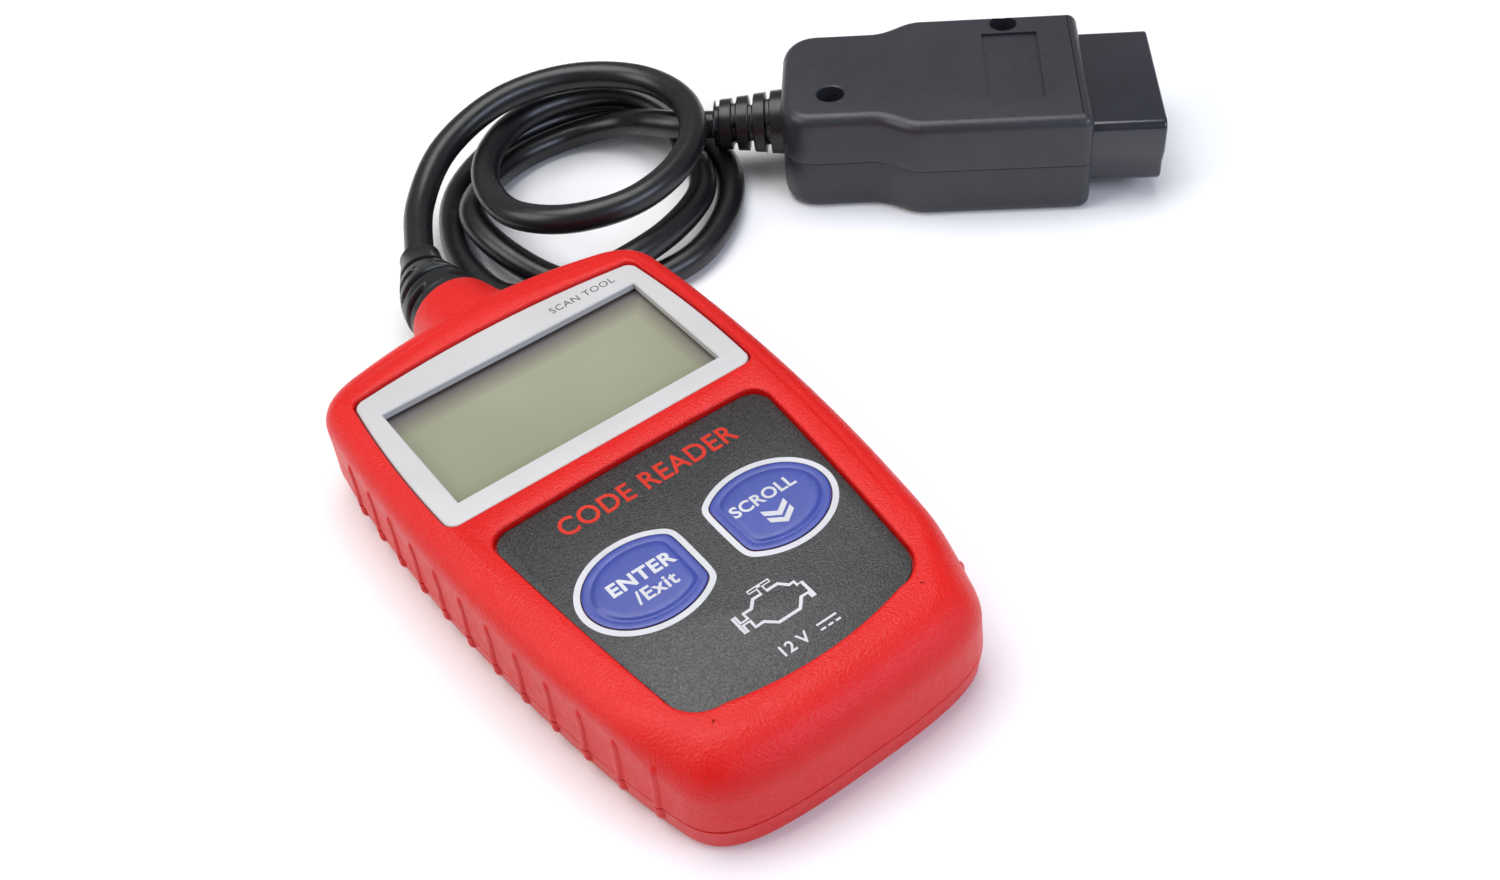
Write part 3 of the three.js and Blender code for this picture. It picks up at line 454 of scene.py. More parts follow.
def panel_outline(spec, grow=0.0):
    """Four bowed sides, narrowing downwards, with round corners."""
    middle, reach = (spec["bottom"] + spec["top"]) / 2, (spec["top"] - spec["bottom"]) / 2

    def side_at(y):
        s = (y - middle) / reach
        return spec["half"] + spec["taper"] * s + spec["bulge"] * (1 - s * s) + grow

    low, high = spec["bottom"] - grow, spec["top"] + grow
    low_x = side_at(low + spec["sag"] + spec["low"]) - spec["low"]
    high_x = side_at(high - spec["crown"] - spec["high"]) - spec["high"]
    half = [(low_x * t / 6, low + spec["sag"] * (t / 6) ** 2) for t in range(6)]
    for i in range(13):
        a = -math.pi / 2 + i * math.pi / 24
        half.append((low_x + spec["low"] * math.cos(a), low + spec["sag"] + spec["low"] * (1 + math.sin(a))))
    start, end = half[-1][1], high - spec["crown"] - spec["high"]
    for i in range(1, 12):
        y = start + (end - start) * i / 12
        half.append((side_at(y), y))
    for i in range(13):
        a = i * math.pi / 24
        y = high - spec["crown"] - spec["high"] * (1 - math.sin(a))
        half.append((high_x + spec["high"] * math.cos(a), y))
    half += [(high_x * t / 6, high - spec["crown"] * (t / 6) ** 2) for t in range(5, -1, -1)]
    return mirrored(half)


def key_outline(side, shrink=0.0, round_mm=1.4):
    """An oval cut straight on the side that faces the other key, its two corners eased."""
    a, b, flat = KEY_A - shrink, KEY_B - shrink, KEY_CUT - shrink
    points = []
    for angle in full_turn(96):
        x, y = a * math.cos(angle), b * math.sin(angle)
        over = x - (flat - round_mm)
        if over > 0:
            x = flat - round_mm + round_mm * math.tanh(over / round_mm)
        points.append((side * (KEY_X - x), KEY_Y + y))
    return points if side < 0 else points[::-1]


# ------------------------------------------------------------------ case
def edge_radius(y):
    return EDGE_RADIUS + (HEEL_RADIUS - EDGE_RADIUS) * smoothstep(-y, *HEEL_BLEND)

def face_step(y):
    return FACE_STEP * (1 - smoothstep(-y, *STEP_BLEND))

def inner_wall(depth):
    """How far in the wall's inside lies: it thickens towards the heel."""
    return lambda x, y: depth + HEEL_WALL * smoothstep(-y, *HEEL_WALL_BLEND)

def front_rings():
    """From inside the face, down the inner wall, over the parting edge and up to the face."""
    outline = case_outline()
    z0 = PARTING_Z + GAP / 2
    rings = [
        lift(inset(outline, inner_wall(WALL + 2.6)), ROOF_Z),
        lift(inset(outline, inner_wall(WALL + DRAFT)), CAVITY_BEND_Z),
        lift(inset(outline, WALL), z0),
        lift(inset(outline, EASE), z0),
        lift(outline, z0 + EASE),
    ]
    for i in range(1, 5):
        rings.append(lift(inset(outline, DRAFT * i / 5), z0 + EASE + 1.3 * i))
    for angle in quarter(16):
        moved = inset(outline, lambda x, y: DRAFT + edge_radius(y) * (1 - math.cos(angle)))
        heights = [CASE_HEIGHT - face_step(y) - edge_radius(y) * (1 - math.sin(angle)) for x, y in outline]
        rings.append([(x, y, z) for (x, y), z in zip(moved, heights)])
    for extra, share in FACE_BORDER:
        moved = inset(outline, lambda x, y: DRAFT + edge_radius(y) + extra)
        rings.append([(x, y, CASE_HEIGHT - face_step(side_y) * (1 - share))
                      for (x, y), (_, side_y) in zip(moved, outline)])
    return rings

def rear_rings():
    """From the back face, round its edge, up to the parting edge and down the inner wall."""
    outline = case_outline()
    z1 = PARTING_Z - GAP / 2
    rings = []
    for i in range(9):
        angle = math.radians(i * 10)
        moved = inset(outline, 0.5 + BACK_RADIUS * (1 - math.sin(angle)) + DRAFT * (8 - i) / 8)
        rings.append(lift(moved, BACK_RADIUS * (1 - math.cos(angle))))
    rings += [
        lift(inset(outline, EASE), z1 - 0.6), lift(inset(outline, 0.03), z1 - EASE),
        lift(inset(outline, 0.14), z1), lift(inset(outline, WALL), z1),
        lift(inset(outline, WALL + 0.4), WALL + 1), lift(inset(outline, WALL + 1.2), WALL),
    ]
    return rings

NECK_STATIONS = [
    # y, half width, half height
    (48, 19, 10.6), (54, 17, 10.7), (56.5, 14.6, 10.7), (58.5, 12.8, 10.6), (60.5, 11.6, 10.4),
    (62.5, 10.8, 10.2), (65, 10.2, 9.9), (67, 9.75, 9.65), (67.7, 9.5, 9.4), (NECK_END_Y, 9.1, 9.0),
]

def neck_solid(low, high):
    """The round neck, flared where it leaves the case, kept between two heights."""
    return loft([[(wide * math.cos(a), y, min(max(NECK_Z + tall * math.sin(a), low), high))
                  for a in full_turn(72)] for y, wide, tall in NECK_STATIONS])


def wall_x(outline_side, y):
    for (x0, y0), (x1, y1) in zip(outline_side, outline_side[1:]):
        if y0 <= y <= y1:
            return x0 + (x1 - x0) * (y - y0) / (y1 - y0)
    return outline_side[-1][0]


def rib_solid(side, y, low, high, fades_up):
    """One upright rib: a slim bead that fades into the wall at its upper or its lower end."""
    half = [p for p in case_outline() if p[0] > 25 and p[1] < 48]
    x = wall_x(half, y)
    lean = (wall_x(half, y + 1) - wall_x(half, y - 1)) / 2
    crown_z = CASE_HEIGHT - EDGE_RADIUS - FACE_STEP
    rings = []
    steps = 16
    for i in range(steps + 1):
        t = i / steps
        z = low + (high - low) * t
        past = (t - RIB_FADE_HIGH) / (1 - RIB_FADE_HIGH) if fades_up else (RIB_FADE_LOW - t) / RIB_FADE_LOW
        fade = math.sqrt(max(1 - past ** 2, 0.02)) if past > 0 else 1.0
        radius = RIB_RADIUS * fade
        wall = x - DRAFT * smoothstep(z, PARTING_Z, 13)
        if z > crown_z:
            over = (z - crown_z) / EDGE_RADIUS
            wall -= EDGE_RADIUS * (1 - math.sqrt(max(1 - over * over, 0)))
        centre = wall - RIB_SINK - (1 - fade) * 0.5
        ring = []
        for angle in full_turn(16):
            out, along = radius * math.cos(angle), radius * 0.95 * math.sin(angle)
            ring.append((side * (centre + out + lean * along), y + along, z))
        rings.append(ring)
    return loft(rings)

def grip_ribs():
    """Every rib's side of the case and place along it."""
    return [(side, RIB_FIRST_Y - i * RIB_PITCH) for i in range(RIB_COUNT) for side in (-1, 1)]

def recess_tool(outline_at, seat):
    """Cuts a recess with an eased rim."""
    rim = [(0, seat), (0, CASE_HEIGHT - 0.42), (0.06, CASE_HEIGHT - 0.24), (0.18, CASE_HEIGHT - 0.10),
           (0.42, CASE_HEIGHT + 0.005), (0.42, CASE_HEIGHT + 3)]
    return loft([lift(outline_at(GAP + grow), z) for grow, z in rim])

def make_front_shell():
    piece = raw_piece("front_shell_skin", *loft(front_rings()))
    z0 = PARTING_Z + GAP / 2
    cut(piece, *neck_solid(z0, FAR), "UNION")
    for side, y in grip_ribs():
        cut(piece, *rib_solid(side, y, z0, RIB_HIGH_Z, True), "UNION")
    cut(piece, *recess_tool(lambda grow: panel_outline(BEZEL, grow), BEZEL_SEAT_Z))
    cut(piece, *slab(*SHELL_WINDOW, FACE_CUT_Z, FAR))
    cut(piece, *recess_tool(lambda grow: panel_outline(PANEL, grow), PANEL_SEAT_Z))
    for side in (-1, 1):
        hole = key_outline(side, KEY_HOLE_INSET)
        cut(piece, *loft([lift(hole, FACE_CUT_Z), lift(hole, FAR)]))
    dress(piece, "red_case", "unit", 32)
    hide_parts("front_shell")

def make_rear_shell():
    piece = raw_piece("rear_shell_skin", *loft(rear_rings()))
    z1 = PARTING_Z - GAP / 2
    cut(piece, *neck_solid(0.35, z1), "UNION")
    for side, y in grip_ribs():
        cut(piece, *rib_solid(side, y, RIB_LOW_Z, z1, False), "UNION")
    for x, y in SCREW_SPOTS:
        cut(piece, *drum(x, y, [(SCREW_BOSS_R, 1), (SCREW_BOSS_R, z1)]), "UNION")
        cut(piece, *drum(x, y, SCREW_SINK))
        cut(piece, *drum(x, y, [(SCREW_BORE_R, 4), (SCREW_BORE_R, 12)]))
    cut(piece, *slab(*LABEL_RECESS, -1, LABEL_RECESS_DEPTH))
    dress(piece, "red_case", "unit", 32)
    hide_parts("rear_shell")


# ------------------------------------------------------------------ display
def make_bezel():
    outline = panel_outline(BEZEL)
    rings = [lift(outline, BEZEL_SEAT_Z + GAP), lift(outline, BEZEL_TOP_Z - BEZEL_EDGE)]
    for angle in quarter(5, 1):
        moved = inset(outline, BEZEL_EDGE * (1 - math.cos(angle)))
        rings.append(lift(moved, BEZEL_TOP_Z - BEZEL_EDGE * (1 - math.sin(angle))))
    piece = raw_piece("display_bezel", *loft(rings))
    opening = [(-WINDOW_HALF, WINDOW_BOTTOM), (WINDOW_HALF, WINDOW_BOTTOM),
               (WINDOW_HALF, WINDOW_TOP), (-WINDOW_HALF, WINDOW_TOP)]
    middle = (WINDOW_BOTTOM + WINDOW_TOP) / 2
    wider = [(x + math.copysign(WINDOW_EASE, x), y + math.copysign(WINDOW_EASE, y - middle))
             for x, y in opening]
    cut(piece, *loft([lift(opening, FACE_CUT_Z), lift(opening, BEZEL_TOP_Z - WINDOW_EASE),
                      lift(wider, BEZEL_TOP_Z + 0.01), lift(wider, FAR)]))
    dress(piece, "pale_bezel", "unit", 30)
    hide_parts("lcd_bezel")


# ------------------------------------------------------------------ printing
def print_text(name, words, size, x, y, z, material, body, bold=0.0, stretch=1.0, spacing=1.0):
    """Raised print: lettering centred on (x, y) that stands a hair above its surface."""
    curve = bpy.data.curves.new(name, "FONT")
    curve.body = words
    curve.size = size * MM
    curve.align_x = "CENTER"
    curve.align_y = "CENTER"
    curve.offset = bold * MM
    curve.space_character = spacing
    curve.extrude = PRINT_HALF * MM
    curve.resolution_u = 6
    holder = bpy.data.objects.new(name + "_outline", curve)
    bpy.context.scene.collection.objects.link(holder)
    bpy.context.view_layer.update()
    mesh = bpy.data.meshes.new_from_object(holder.evaluated_get(bpy.context.evaluated_depsgraph_get()))
    bpy.data.objects.remove(holder)
    mesh.transform(Matrix.Translation(Vector((x, y, z)) * MM) @ Matrix.Diagonal((stretch, 1, 1, 1)))
    return dress(bpy.data.objects.new(name, mesh), material, body, 30)


def print_shape(name, outline, z, material, body, hole=None):
    """Raised print of a closed outline, with a hole of the same count if given."""
    rings = [lift(outline, z), lift(outline, z + PRINT_HEIGHT)]
    if hole:
        rings += [lift(hole, z + PRINT_HEIGHT), lift(hole, z)]
    return make_piece(name, *loft(rings, closed=bool(hole)), material, body)


def make_keypad():
    outline = panel_outline(PANEL)
    edge = [(0, PANEL_SEAT_Z + GAP), (0, PANEL_TOP_Z - 0.12), (0.05, PANEL_TOP_Z - 0.03), (0.14, PANEL_TOP_Z)]
    piece = raw_piece("keypad_film", *loft([lift(inset(outline, depth), z) for depth, z in edge]))
    for side in (-1, 1):
        hole = key_outline(side, -0.12)
        cut(piece, *loft([lift(hole, FACE_CUT_Z), lift(hole, FAR)]))
    dress(piece, "keypad_film", "unit", 30)
    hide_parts("keypad_overlay")
    for side, word in ((-1, "enter"), (1, "scroll")):
        print_shape(f"{word}_key_border", key_outline(side, -1.35, 1.8), PANEL_TOP_Z, "white_print", "unit",
                    key_outline(side, -0.22))
    print_text("keypad_title", "CODE READER", 6.1, 0.3, -7.1, PANEL_TOP_Z, "orange_print", "unit",
               bold=0.10, stretch=0.86, spacing=1.08)
    make_engine_sign()
    make_supply_sign()


ENGINE_OUTLINE = [
    (-6.2, 2.0), (-4.2, 2.0), (-2.6, 3.7), (-0.6, 3.7), (-0.6, 4.7), (-2.4, 4.7), (-2.4, 5.7), (2.8, 5.7),
    (2.8, 4.7), (1.0, 4.7), (1.0, 3.7), (3.6, 3.7), (5.2, 2.0), (6.4, 2.0), (6.4, 0.9), (7.6, 0.9),
    (7.6, -3.6), (6.4, -3.6), (6.4, -2.4), (5.2, -2.4), (3.2, -4.6), (-2.0, -4.6), (-4.2, -2.6),
    (-6.2, -2.6), (-6.2, -0.7), (-7.4, -0.7), (-7.4, -2.4), (-8.6, -2.4), (-8.6, 2.2), (-7.4, 2.2),
    (-7.4, 0.4), (-6.2, 0.4),
]
ENGINE_SIZE, ENGINE_X, ENGINE_Y, ENGINE_STROKE = 0.86, 0.4, -43.6, 0.62

def make_engine_sign():
    """A plain engine pictogram in white outline."""
    outline = [(ENGINE_X + ENGINE_SIZE * a, ENGINE_Y + ENGINE_SIZE * b) for a, b in ENGINE_OUTLINE][::-1]
    print_shape("engine_sign", outline, PANEL_TOP_Z, "white_print", "unit", inset(outline, ENGINE_STROKE))


def make_supply_sign():
    print_text("supply_text", "12 V", 3.2, -2.2, -52.4, PANEL_TOP_Z, "white_print", "unit", bold=0.05)
    bars = [(2.9, 6.9, -51.7)] + [(2.9 + i * 1.5, 3.9 + i * 1.5, -52.9) for i in range(3)]
    for i, (x0, x1, y) in enumerate(bars):
        outline = [(x0, y - 0.2), (x1, y - 0.2), (x1, y + 0.2), (x0, y + 0.2)]
        print_shape(f"supply_bar_{i + 1}", outline, PANEL_TOP_Z, "white_print", "unit")


# ------------------------------------------------------------------ keys
KEY_PROFILE = [
    # inset and height, from the foot up through the shell, the rim and the crease to the pad
    (0.4, ROOF_Z - 1.5), (0.4, ROOF_Z - GAP), (1.6, ROOF_Z - GAP), (1.6, 20.85), (0.2, 20.95), (0, 21.0),
    (0.04, 21.08), (0.16, 21.14), (0.5, 21.16), (1.25, 21.16), (1.42, 21.12), (1.62, 21.13), (1.8, 21.22),
    (1.98, 21.38), (2.2, 21.49), (2.6, 21.54), (3.2, LABEL_Z), (5.2, LABEL_Z),
]
PLUNGER = [(1.6, 13.25), (1.6, ROOF_Z - 1.2)]

def make_key(side, word):
    """A key: foot and stem under the shell's face, then a rim and a raised pad with a soft crease."""
    rings = [lift(key_outline(side, shrink), z) for shrink, z in KEY_PROFILE]
    piece = raw_piece(f"{word}_key_cap", *loft(rings))
    cut(piece, *drum(side * KEY_X, KEY_Y, PLUNGER), "UNION")
    dress(piece, "blue_key", f"{word}_key", 30)
    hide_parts(f"{word}_button")


def make_dome(side, word):
    """The sprung metal dome under a key, built at rest."""
    points, faces = drum(side * KEY_X, KEY_Y, DOME_PROFILE)
    piece = make_piece(f"{word}_snap_dome", points, faces, "bright_steel", "unit", sharp=50)
    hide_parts(f"{word}_dome")
    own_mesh(piece)


def make_key_labels():
    z = LABEL_Z
    print_text("enter_label", "ENTER", 4.0, -KEY_X - 0.2, KEY_Y + 1.2, z, "white_print", "enter_key",
               bold=0.14, spacing=1.10)
    print_text("exit_label", "/Exit", 4.0, -KEY_X + 0.2, KEY_Y - 2.9, z, "white_print", "enter_key",
               bold=0.09, spacing=1.08)
    print_text("scroll_label", "SCROLL", 3.6, KEY_X, KEY_Y + 1.9, z, "white_print", "scroll_key",
               bold=0.09, spacing=1.04)
    for i in range(2):
        top = KEY_Y - 0.6 - i * 1.9
        arrow = [(-2.5, 0), (0, -1.75), (2.5, 0), (2.5, -1.25), (0, -3.0), (-2.5, -1.25)]
        outline = [(KEY_X + a, top + b) for a, b in arrow][::-1]
        print_shape(f"scroll_arrow_{i + 1}", outline, z, "white_print", "scroll_key")


# ------------------------------------------------------------------ lead
LEAD_ROUTE = [
    (3.7, 90, 11.8), (12.5, 105.5, 12.8), (26, 116.8, 16), (44.3, 121.2, 18.6), (61.5, 117.2, 19),
    (73, 105.4, 19), (75.4, 91, 19), (69.7, 78, 19), (59, 69.6, 18.6), (45.3, 66.7, 18.2),
    (32.6, 71.6, 17.5), (25.3, 83, 15.9), (26.4, 98, 13.9),
    # second turn
    (34.2, 112.4, 12), (46.2, 120.9, 11.1), (60, 121.2, 11), (72.8, 114, 10.2), (78.4, 101, 6.4),
    (75.6, 91, 3.8), (72.5, 81.8, 6.2), (65.6, 71.2, 7.7), (52, 63.2, 9), (35.8, 59.8, 10),
    (22.4, 63.4, 7.6), (14.9, 74.4, 3.7), (13.6, 88, 3.3), (17.4, 102.8, 3.3),
    # third turn, flat on the floor
    (26, 116, 3.3), (41.6, 125.4, 3.3), (60.4, 126.2, 3.3), (76.4, 117.2, 3.3), (84.8, 102.2, 3.3),
    (82, 89.4, 3.3), (78.2, 78, 3.3), (68.2, 65.8, 3.3), (53, 58, 3.3), (37, 60, 3.3), (26.8, 70.6, 3.8),
    (21.2, 84.6, 7), (21.6, 98.8, 8.1),
    # along the inside of the coil and up to the plug
    (31, 111.6, 5), (45, 118.5, 3.3), (58.6, 117.4, 3.7), (68.2, 108.6, 7), (71.4, 98.6, 10.6),
    (75.2, 90.4, 12.1), (80.3, 85.9, 12.1),
]


def centripetal(route, steps):
    """A centripetal Catmull-Rom curve through the route's points."""
    points = [Vector(p) for p in route]
    points = [2 * points[0] - points[1], *points, 2 * points[-1] - points[-2]]
    out = []
    for a, b, c, d in zip(points, points[1:], points[2:], points[3:]):
        t1 = (b - a).length ** 0.5
        t2 = t1 + (c - b).length ** 0.5
        t3 = t2 + (d - c).length ** 0.5
        for i in range(steps):
            t = t1 + (t2 - t1) * i / steps
            p = a.lerp(b, t / t1)
            q = b.lerp(c, (t - t1) / (t2 - t1))
            r = c.lerp(d, (t - t2) / (t3 - t2))
            out.append(p.lerp(q, t / t2).lerp(q.lerp(r, (t - t1) / (t3 - t1)), (t - t1) / (t2 - t1)))
    return [*out, points[-2]]


def make_lead():
    line = centripetal(LEAD_ROUTE, 8)
    curve = bpy.data.curves.new("lead", "CURVE")
    curve.dimensions = "3D"
    spline = curve.splines.new("POLY")
    spline.points.add(len(line) - 1)
    for spot, p in zip(spline.points, line):
        spot.co = (*(p * MM), 1)
    spline.use_smooth = True
    curve.bevel_depth = CORD_RADIUS * MM
    curve.bevel_resolution = 8
    curve.use_fill_caps = True
    piece = bpy.data.objects.new("lead", curve)
    bpy.context.scene.collection.objects.link(piece)
    curve.materials.append(materials["black_rubber"])
    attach(piece, "unit")
    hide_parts("cord")
    return piece


def sleeve(line, radius_at, per_span):
    """A skin along a line: radius_at(distance, angle) gives its shape; returns points and faces."""
    path = centripetal(line, per_span)
    rings = []
    run = 0.0
    for i, p in enumerate(path):
        along = (path[min(i + 1, len(path) - 1)] - path[max(i - 1, 0)]).normalized()
        across = Vector((0, 0, 1)).cross(along).normalized()
        up = along.cross(across)
        if i:
            run += (p - path[i - 1]).length
        ring = []
        for angle in full_turn(72):
            r = radius_at(run, angle)
            ring.append(tuple(p + across * (r * math.cos(angle)) + up * (r * math.sin(angle))))
        rings.append(ring)
    return loft(rings)


BOOT_AXIS = [(0, 61, 11), (0, 64, 11), (0, 68.2, 11), (0.1, 73, 11.1), (0.6, 78, 11.2), (1.7, 83.5, 11.4),
             (3.3, 88.6, 11.7), (3.65, 89.8, 11.8)]
BOOT_SLOTS = [10.3, 14.2, 18.1, 22]
BOOT_SLOT_HALF, BOOT_SLOT_DEPTH = 0.68, 1.5
BOOT_ROOT_R, BOOT_ROOT_END = 6.9, 7.3
BOOT_COLLAR_R, BOOT_COLLAR_END = 8.7, 9
BOOT_CONE_R, BOOT_FALL, BOOT_CONE_SPAN = 8.75, 4.3, (8.5, 28.5)
BOOT_TIP = 28.6

def boot_radius(run, angle):
    """A cone with a narrow root and tip, and cross slots between which solid webs are left."""
    cone = BOOT_CONE_R - BOOT_FALL * smoothstep(run, *BOOT_CONE_SPAN) ** 1.25
    if run < BOOT_COLLAR_END:
        cone = BOOT_COLLAR_R
    if run < BOOT_ROOT_END:
        cone = BOOT_ROOT_R
    if run > BOOT_TIP:
        cone = CORD_RADIUS + 0.35
    depth = 0.0
    for i, slot in enumerate(BOOT_SLOTS):
        groove = math.exp(-(((run - slot) / BOOT_SLOT_HALF) ** 4))
        bridge = abs(math.cos(angle - (0.0 if i % 2 else math.pi / 2)))
        depth = max(depth, groove * smoothstep(1 - bridge, 0.04, 0.14) * BOOT_SLOT_DEPTH)
    return max(cone - depth, CORD_RADIUS + 0.2)


def make_boot():
    points, faces = sleeve(BOOT_AXIS, boot_radius, 22)
    piece = make_piece("lead_boot", points, faces, "black_rubber", "unit", sharp=50)
    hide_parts("cord_boot")
    return piece


# ------------------------------------------------------------------ plug
def plug_outline():
    corner = bezier(0, 9.5, 0.4, 14.6, 3.4, PLUG_GRIP_HALF, 8, PLUG_GRIP_HALF, steps=16)
    flare = bezier(20, PLUG_GRIP_HALF, 25, PLUG_GRIP_HALF, 27, PLUG_HEAD_HALF, 32, PLUG_HEAD_HALF, steps=16)
    r = 2.4
    front = bezier(PLUG_LENGTH - r, PLUG_HEAD_HALF, PLUG_LENGTH - 1, PLUG_HEAD_HALF,
                   PLUG_LENGTH, PLUG_HEAD_HALF - 1, PLUG_LENGTH, PLUG_HEAD_HALF - r, steps=8)
    half = corner + flare + front
    return [(x, -y) for x, y in half] + half[::-1]


def plug_half(name, node, flip):
    """One half of the plug's housing, from the seam to its rounded outer face."""
    outline = plug_outline()
    middle = PLUG_HEIGHT / 2

    def height(depth):
        return middle - depth if flip else middle + depth

    seam = [(1.6, 0.02), (0.14, 0.02), (0.05, 0.08), (0, GAP)]
    rings = [lift(inset(outline, inwards), height(depth)) for inwards, depth in seam]
    reach = middle - PLUG_EDGE
    rings += [lift(outline, height(GAP + (reach - GAP) * share)) for share in (0.35, 0.7)]
    for angle in quarter(10):
        moved = inset(outline, PLUG_EDGE * 0.96 * (1 - math.cos(angle)))
        rings.append(lift(moved, height(middle - PLUG_EDGE * (1 - math.sin(angle)))))
    piece = raw_piece(name, *loft(rings))
    if not flip:
        cut(piece, *slab(*PLUG_RECESS, PLUG_HEIGHT - PLUG_RECESS_DEPTH, FAR))
        for x, y in PLUG_SCREWS:
            cut(piece, *drum(x, y, PLUG_SINK))
    cut(piece, *loft([shroud_ring(x, -GAP) for x in (SHROUD["back"], PLUG_LENGTH + 5)]))
    cut(piece, *loft([[(x, RELIEF_HOLE_R * math.cos(a), middle + RELIEF_HOLE_R * math.sin(a))
                       for a in full_turn(40)] for x in (-2, 4)]))
    piece.data.transform(PLUG_PLACE)
    dress(piece, "plug_plastic", "unit", 30)
    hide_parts(node)
    return piece


def shroud_ring(x, shrink=0.0):
    """The connector's D section, wide side up, its four corners rounded."""
    low, high = SHROUD["z0"] + shrink, SHROUD["z1"] - shrink
    wide, narrow = SHROUD["wide"] - shrink, SHROUD["narrow"] - shrink
    shoulder = low + (high - low) * SHOULDER_SHARE
    radius = max(SHROUD_CORNER - shrink, 0.5)
    half = []
    for i in range(9):
        a = -math.pi / 2 + i * math.pi / 16
        half.append((narrow - radius + radius * math.cos(a), low + radius + radius * math.sin(a)))
    half += [(narrow, shoulder - SHOULDER_RISE), (wide, shoulder + SHOULDER_RISE)]
    for i in range(9):
        a = i * math.pi / 16
        half.append((wide - radius + radius * math.cos(a), high - radius + radius * math.sin(a)))
    return [(x, y, z) for y, z in half] + [(x, -y, z) for y, z in reversed(half)]


def make_shroud():
    wall, front = SHROUD["wall"], SHROUD["front"]
    rings = [shroud_ring(SHROUD["back"], wall), shroud_ring(SHROUD["back"] + 1),
             shroud_ring(front - SHROUD_EDGE)]
    for angle in quarter(6, 1):
        depth = SHROUD_EDGE * (1 - math.sin(angle))
        rings.append(shroud_ring(front - depth, SHROUD_EDGE * (1 - math.cos(angle))))
    rings += [shroud_ring(front - 0.15, wall - 0.3), shroud_ring(front - 0.5, wall),
              shroud_ring(PLUG_LENGTH + 1.8, wall), shroud_ring(PLUG_LENGTH + 1.5, wall + 0.3)]
    piece = make_piece("connector_sleeve", *loft(rings), "shroud_plastic", "unit", PLUG_PLACE, 34)
    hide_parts("connector_shroud")
    return piece


RELIEF_PITCH, RELIEF_RIB = 3.95, 2.8
RELIEF_RADII = [7.4, 6.9, 6.4, 5.9]
RELIEF_START = 0.4                   # the first rib begins this far behind the grip
RELIEF_CORE_R, RELIEF_SLOT_R, RELIEF_FLANGE_R = 4.9, 4.2, 6.9

def relief_radius(run, angle):
    """Four ribs with slots between them that leave narrow webs; run is measured from the tip."""
    x = 4 * RELIEF_PITCH + RELIEF_START - run
    if x < 0:
        return RELIEF_CORE_R if x > -2.2 else RELIEF_FLANGE_R
    rib = min(int((x - RELIEF_START) / RELIEF_PITCH), 3) if x > RELIEF_START else 0
    inside = (x - RELIEF_START) - rib * RELIEF_PITCH
    radius = RELIEF_RADII[rib] - 0.2 * inside / RELIEF_RIB
    groove = smoothstep(inside, 2.62, 2.86) * (1 - smoothstep(inside, RELIEF_PITCH - 0.24, RELIEF_PITCH))
    web = smoothstep(abs(math.cos(angle - math.radians(135 if rib % 2 else 120))), 0.80, 0.90)
    return radius - groove * (radius - RELIEF_SLOT_R) * (1 - 0.85 * web)


def make_relief():
    middle = PLUG_HEIGHT / 2
    tip = -RELIEF_START - 4 * RELIEF_PITCH
    path = [(tip + i * 1.6, 0, middle) for i in range(13)] + [(3.7, 0, middle)]
    points, faces = sleeve(path, relief_radius, 12)
    piece = make_piece("plug_relief", points, faces, "black_rubber", "unit", PLUG_PLACE, 50)
    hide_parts("plug_strain_relief")
    return piece


# ------------------------------------------------------------------ stage
FLOOR_REACH, FLOOR_Z = 9000, -0.02

def make_stage():
    reach = FLOOR_REACH
    corners = lift([(-reach, -reach), (reach, -reach), (reach, reach), (-reach, reach)], FLOOR_Z)
    mesh = bpy.data.meshes.new("floor")
    mesh.from_pydata([Vector(p) * MM for p in corners], [], [(0, 1, 2, 3)])
    floor = bpy.data.objects.new("floor", mesh)
    bpy.context.scene.collection.objects.link(floor)
    mesh.materials.append(materials["floor"])


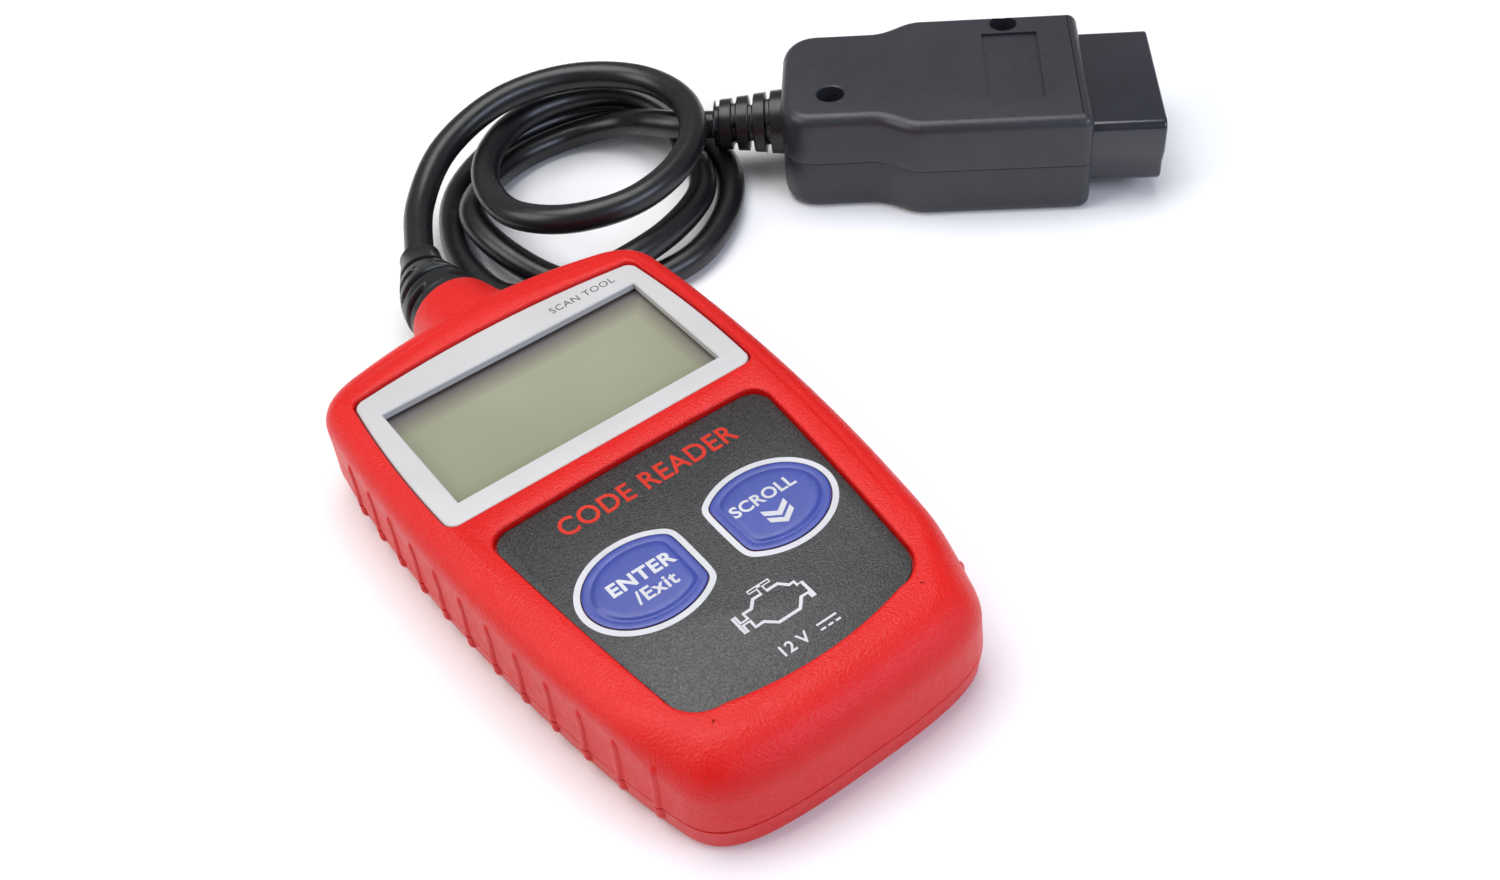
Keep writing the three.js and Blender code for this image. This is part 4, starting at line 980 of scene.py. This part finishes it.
def softbox(name, place, target, size, power, colour=(1, 1, 1)):
    light = bpy.data.lights.new(name, "AREA")
    light.shape = "RECTANGLE"
    light.size, light.size_y = size
    light.energy = power
    light.color = colour
    holder = bpy.data.objects.new(name, light)
    bpy.context.scene.collection.objects.link(holder)
    holder.location = place
    holder.rotation_euler = (Vector(target) - Vector(place)).to_track_quat("-Z", "Y").to_euler()


def make_lights():
    world = bpy.data.worlds.new("studio")
    world.use_nodes = True
    background = world.node_tree.nodes["Background"]
    background.inputs["Color"].default_value = (1, 1, 1, 1)
    background.inputs["Strength"].default_value = 0.30
    bpy.context.scene.world = world
    softbox("softbox_overhead", (0.05, 0.25, 0.95), (0.03, 0.02, 0), (0.9, 0.7), 8.2)
    softbox("softbox_left", (-0.75, 0.35, 0.6), (0.02, 0.0, 0), (0.6, 0.6), 4.0)
    softbox("softbox_front", (0.35, -0.8, 0.55), (0.02, -0.05, 0), (0.8, 0.35), 5.5, (0.70, 0.78, 1))
    bpy.context.scene.view_settings.view_transform = "Standard"


# ------------------------------------------------------------------ assembly
def finish_cad_nodes():
    """Every CAD node that stays gets the procedural material of its slot."""
    slot_of = {part["node"]: part["material_slot"] for part in frame["record"]["subparts"]}
    for name, node in nodes.items():
        node.data.materials.clear()
        node.data.materials.append(materials[slot_of[name]])


make_camera()
materials = make_materials()
finish_cad_nodes()
lead = make_lead()
boot = make_boot()
plug_pieces = [
    plug_half("plug_upper_housing", "plug_upper_shell", False),
    plug_half("plug_lower_housing", "plug_lower_shell", True),
    make_shroud(),
    make_relief(),
]
on_the_lead = [boot, *plug_pieces, nodes["plug_screw_1"], nodes["plug_screw_2"]]
on_the_lead += [node for name, node in nodes.items() if name.startswith("contact_pin")]
make_front_shell()
make_rear_shell()
make_bezel()
make_keypad()
make_key(-1, "enter")
make_key(1, "scroll")
make_dome(-1, "enter")
make_dome(1, "scroll")
make_key_labels()
print_text("bezel_text", "SCAN TOOL", 2.5, 18.5, 43.6, BEZEL_TOP_Z, "grey_print", "unit", spacing=1.1)
make_stage()
make_lights()
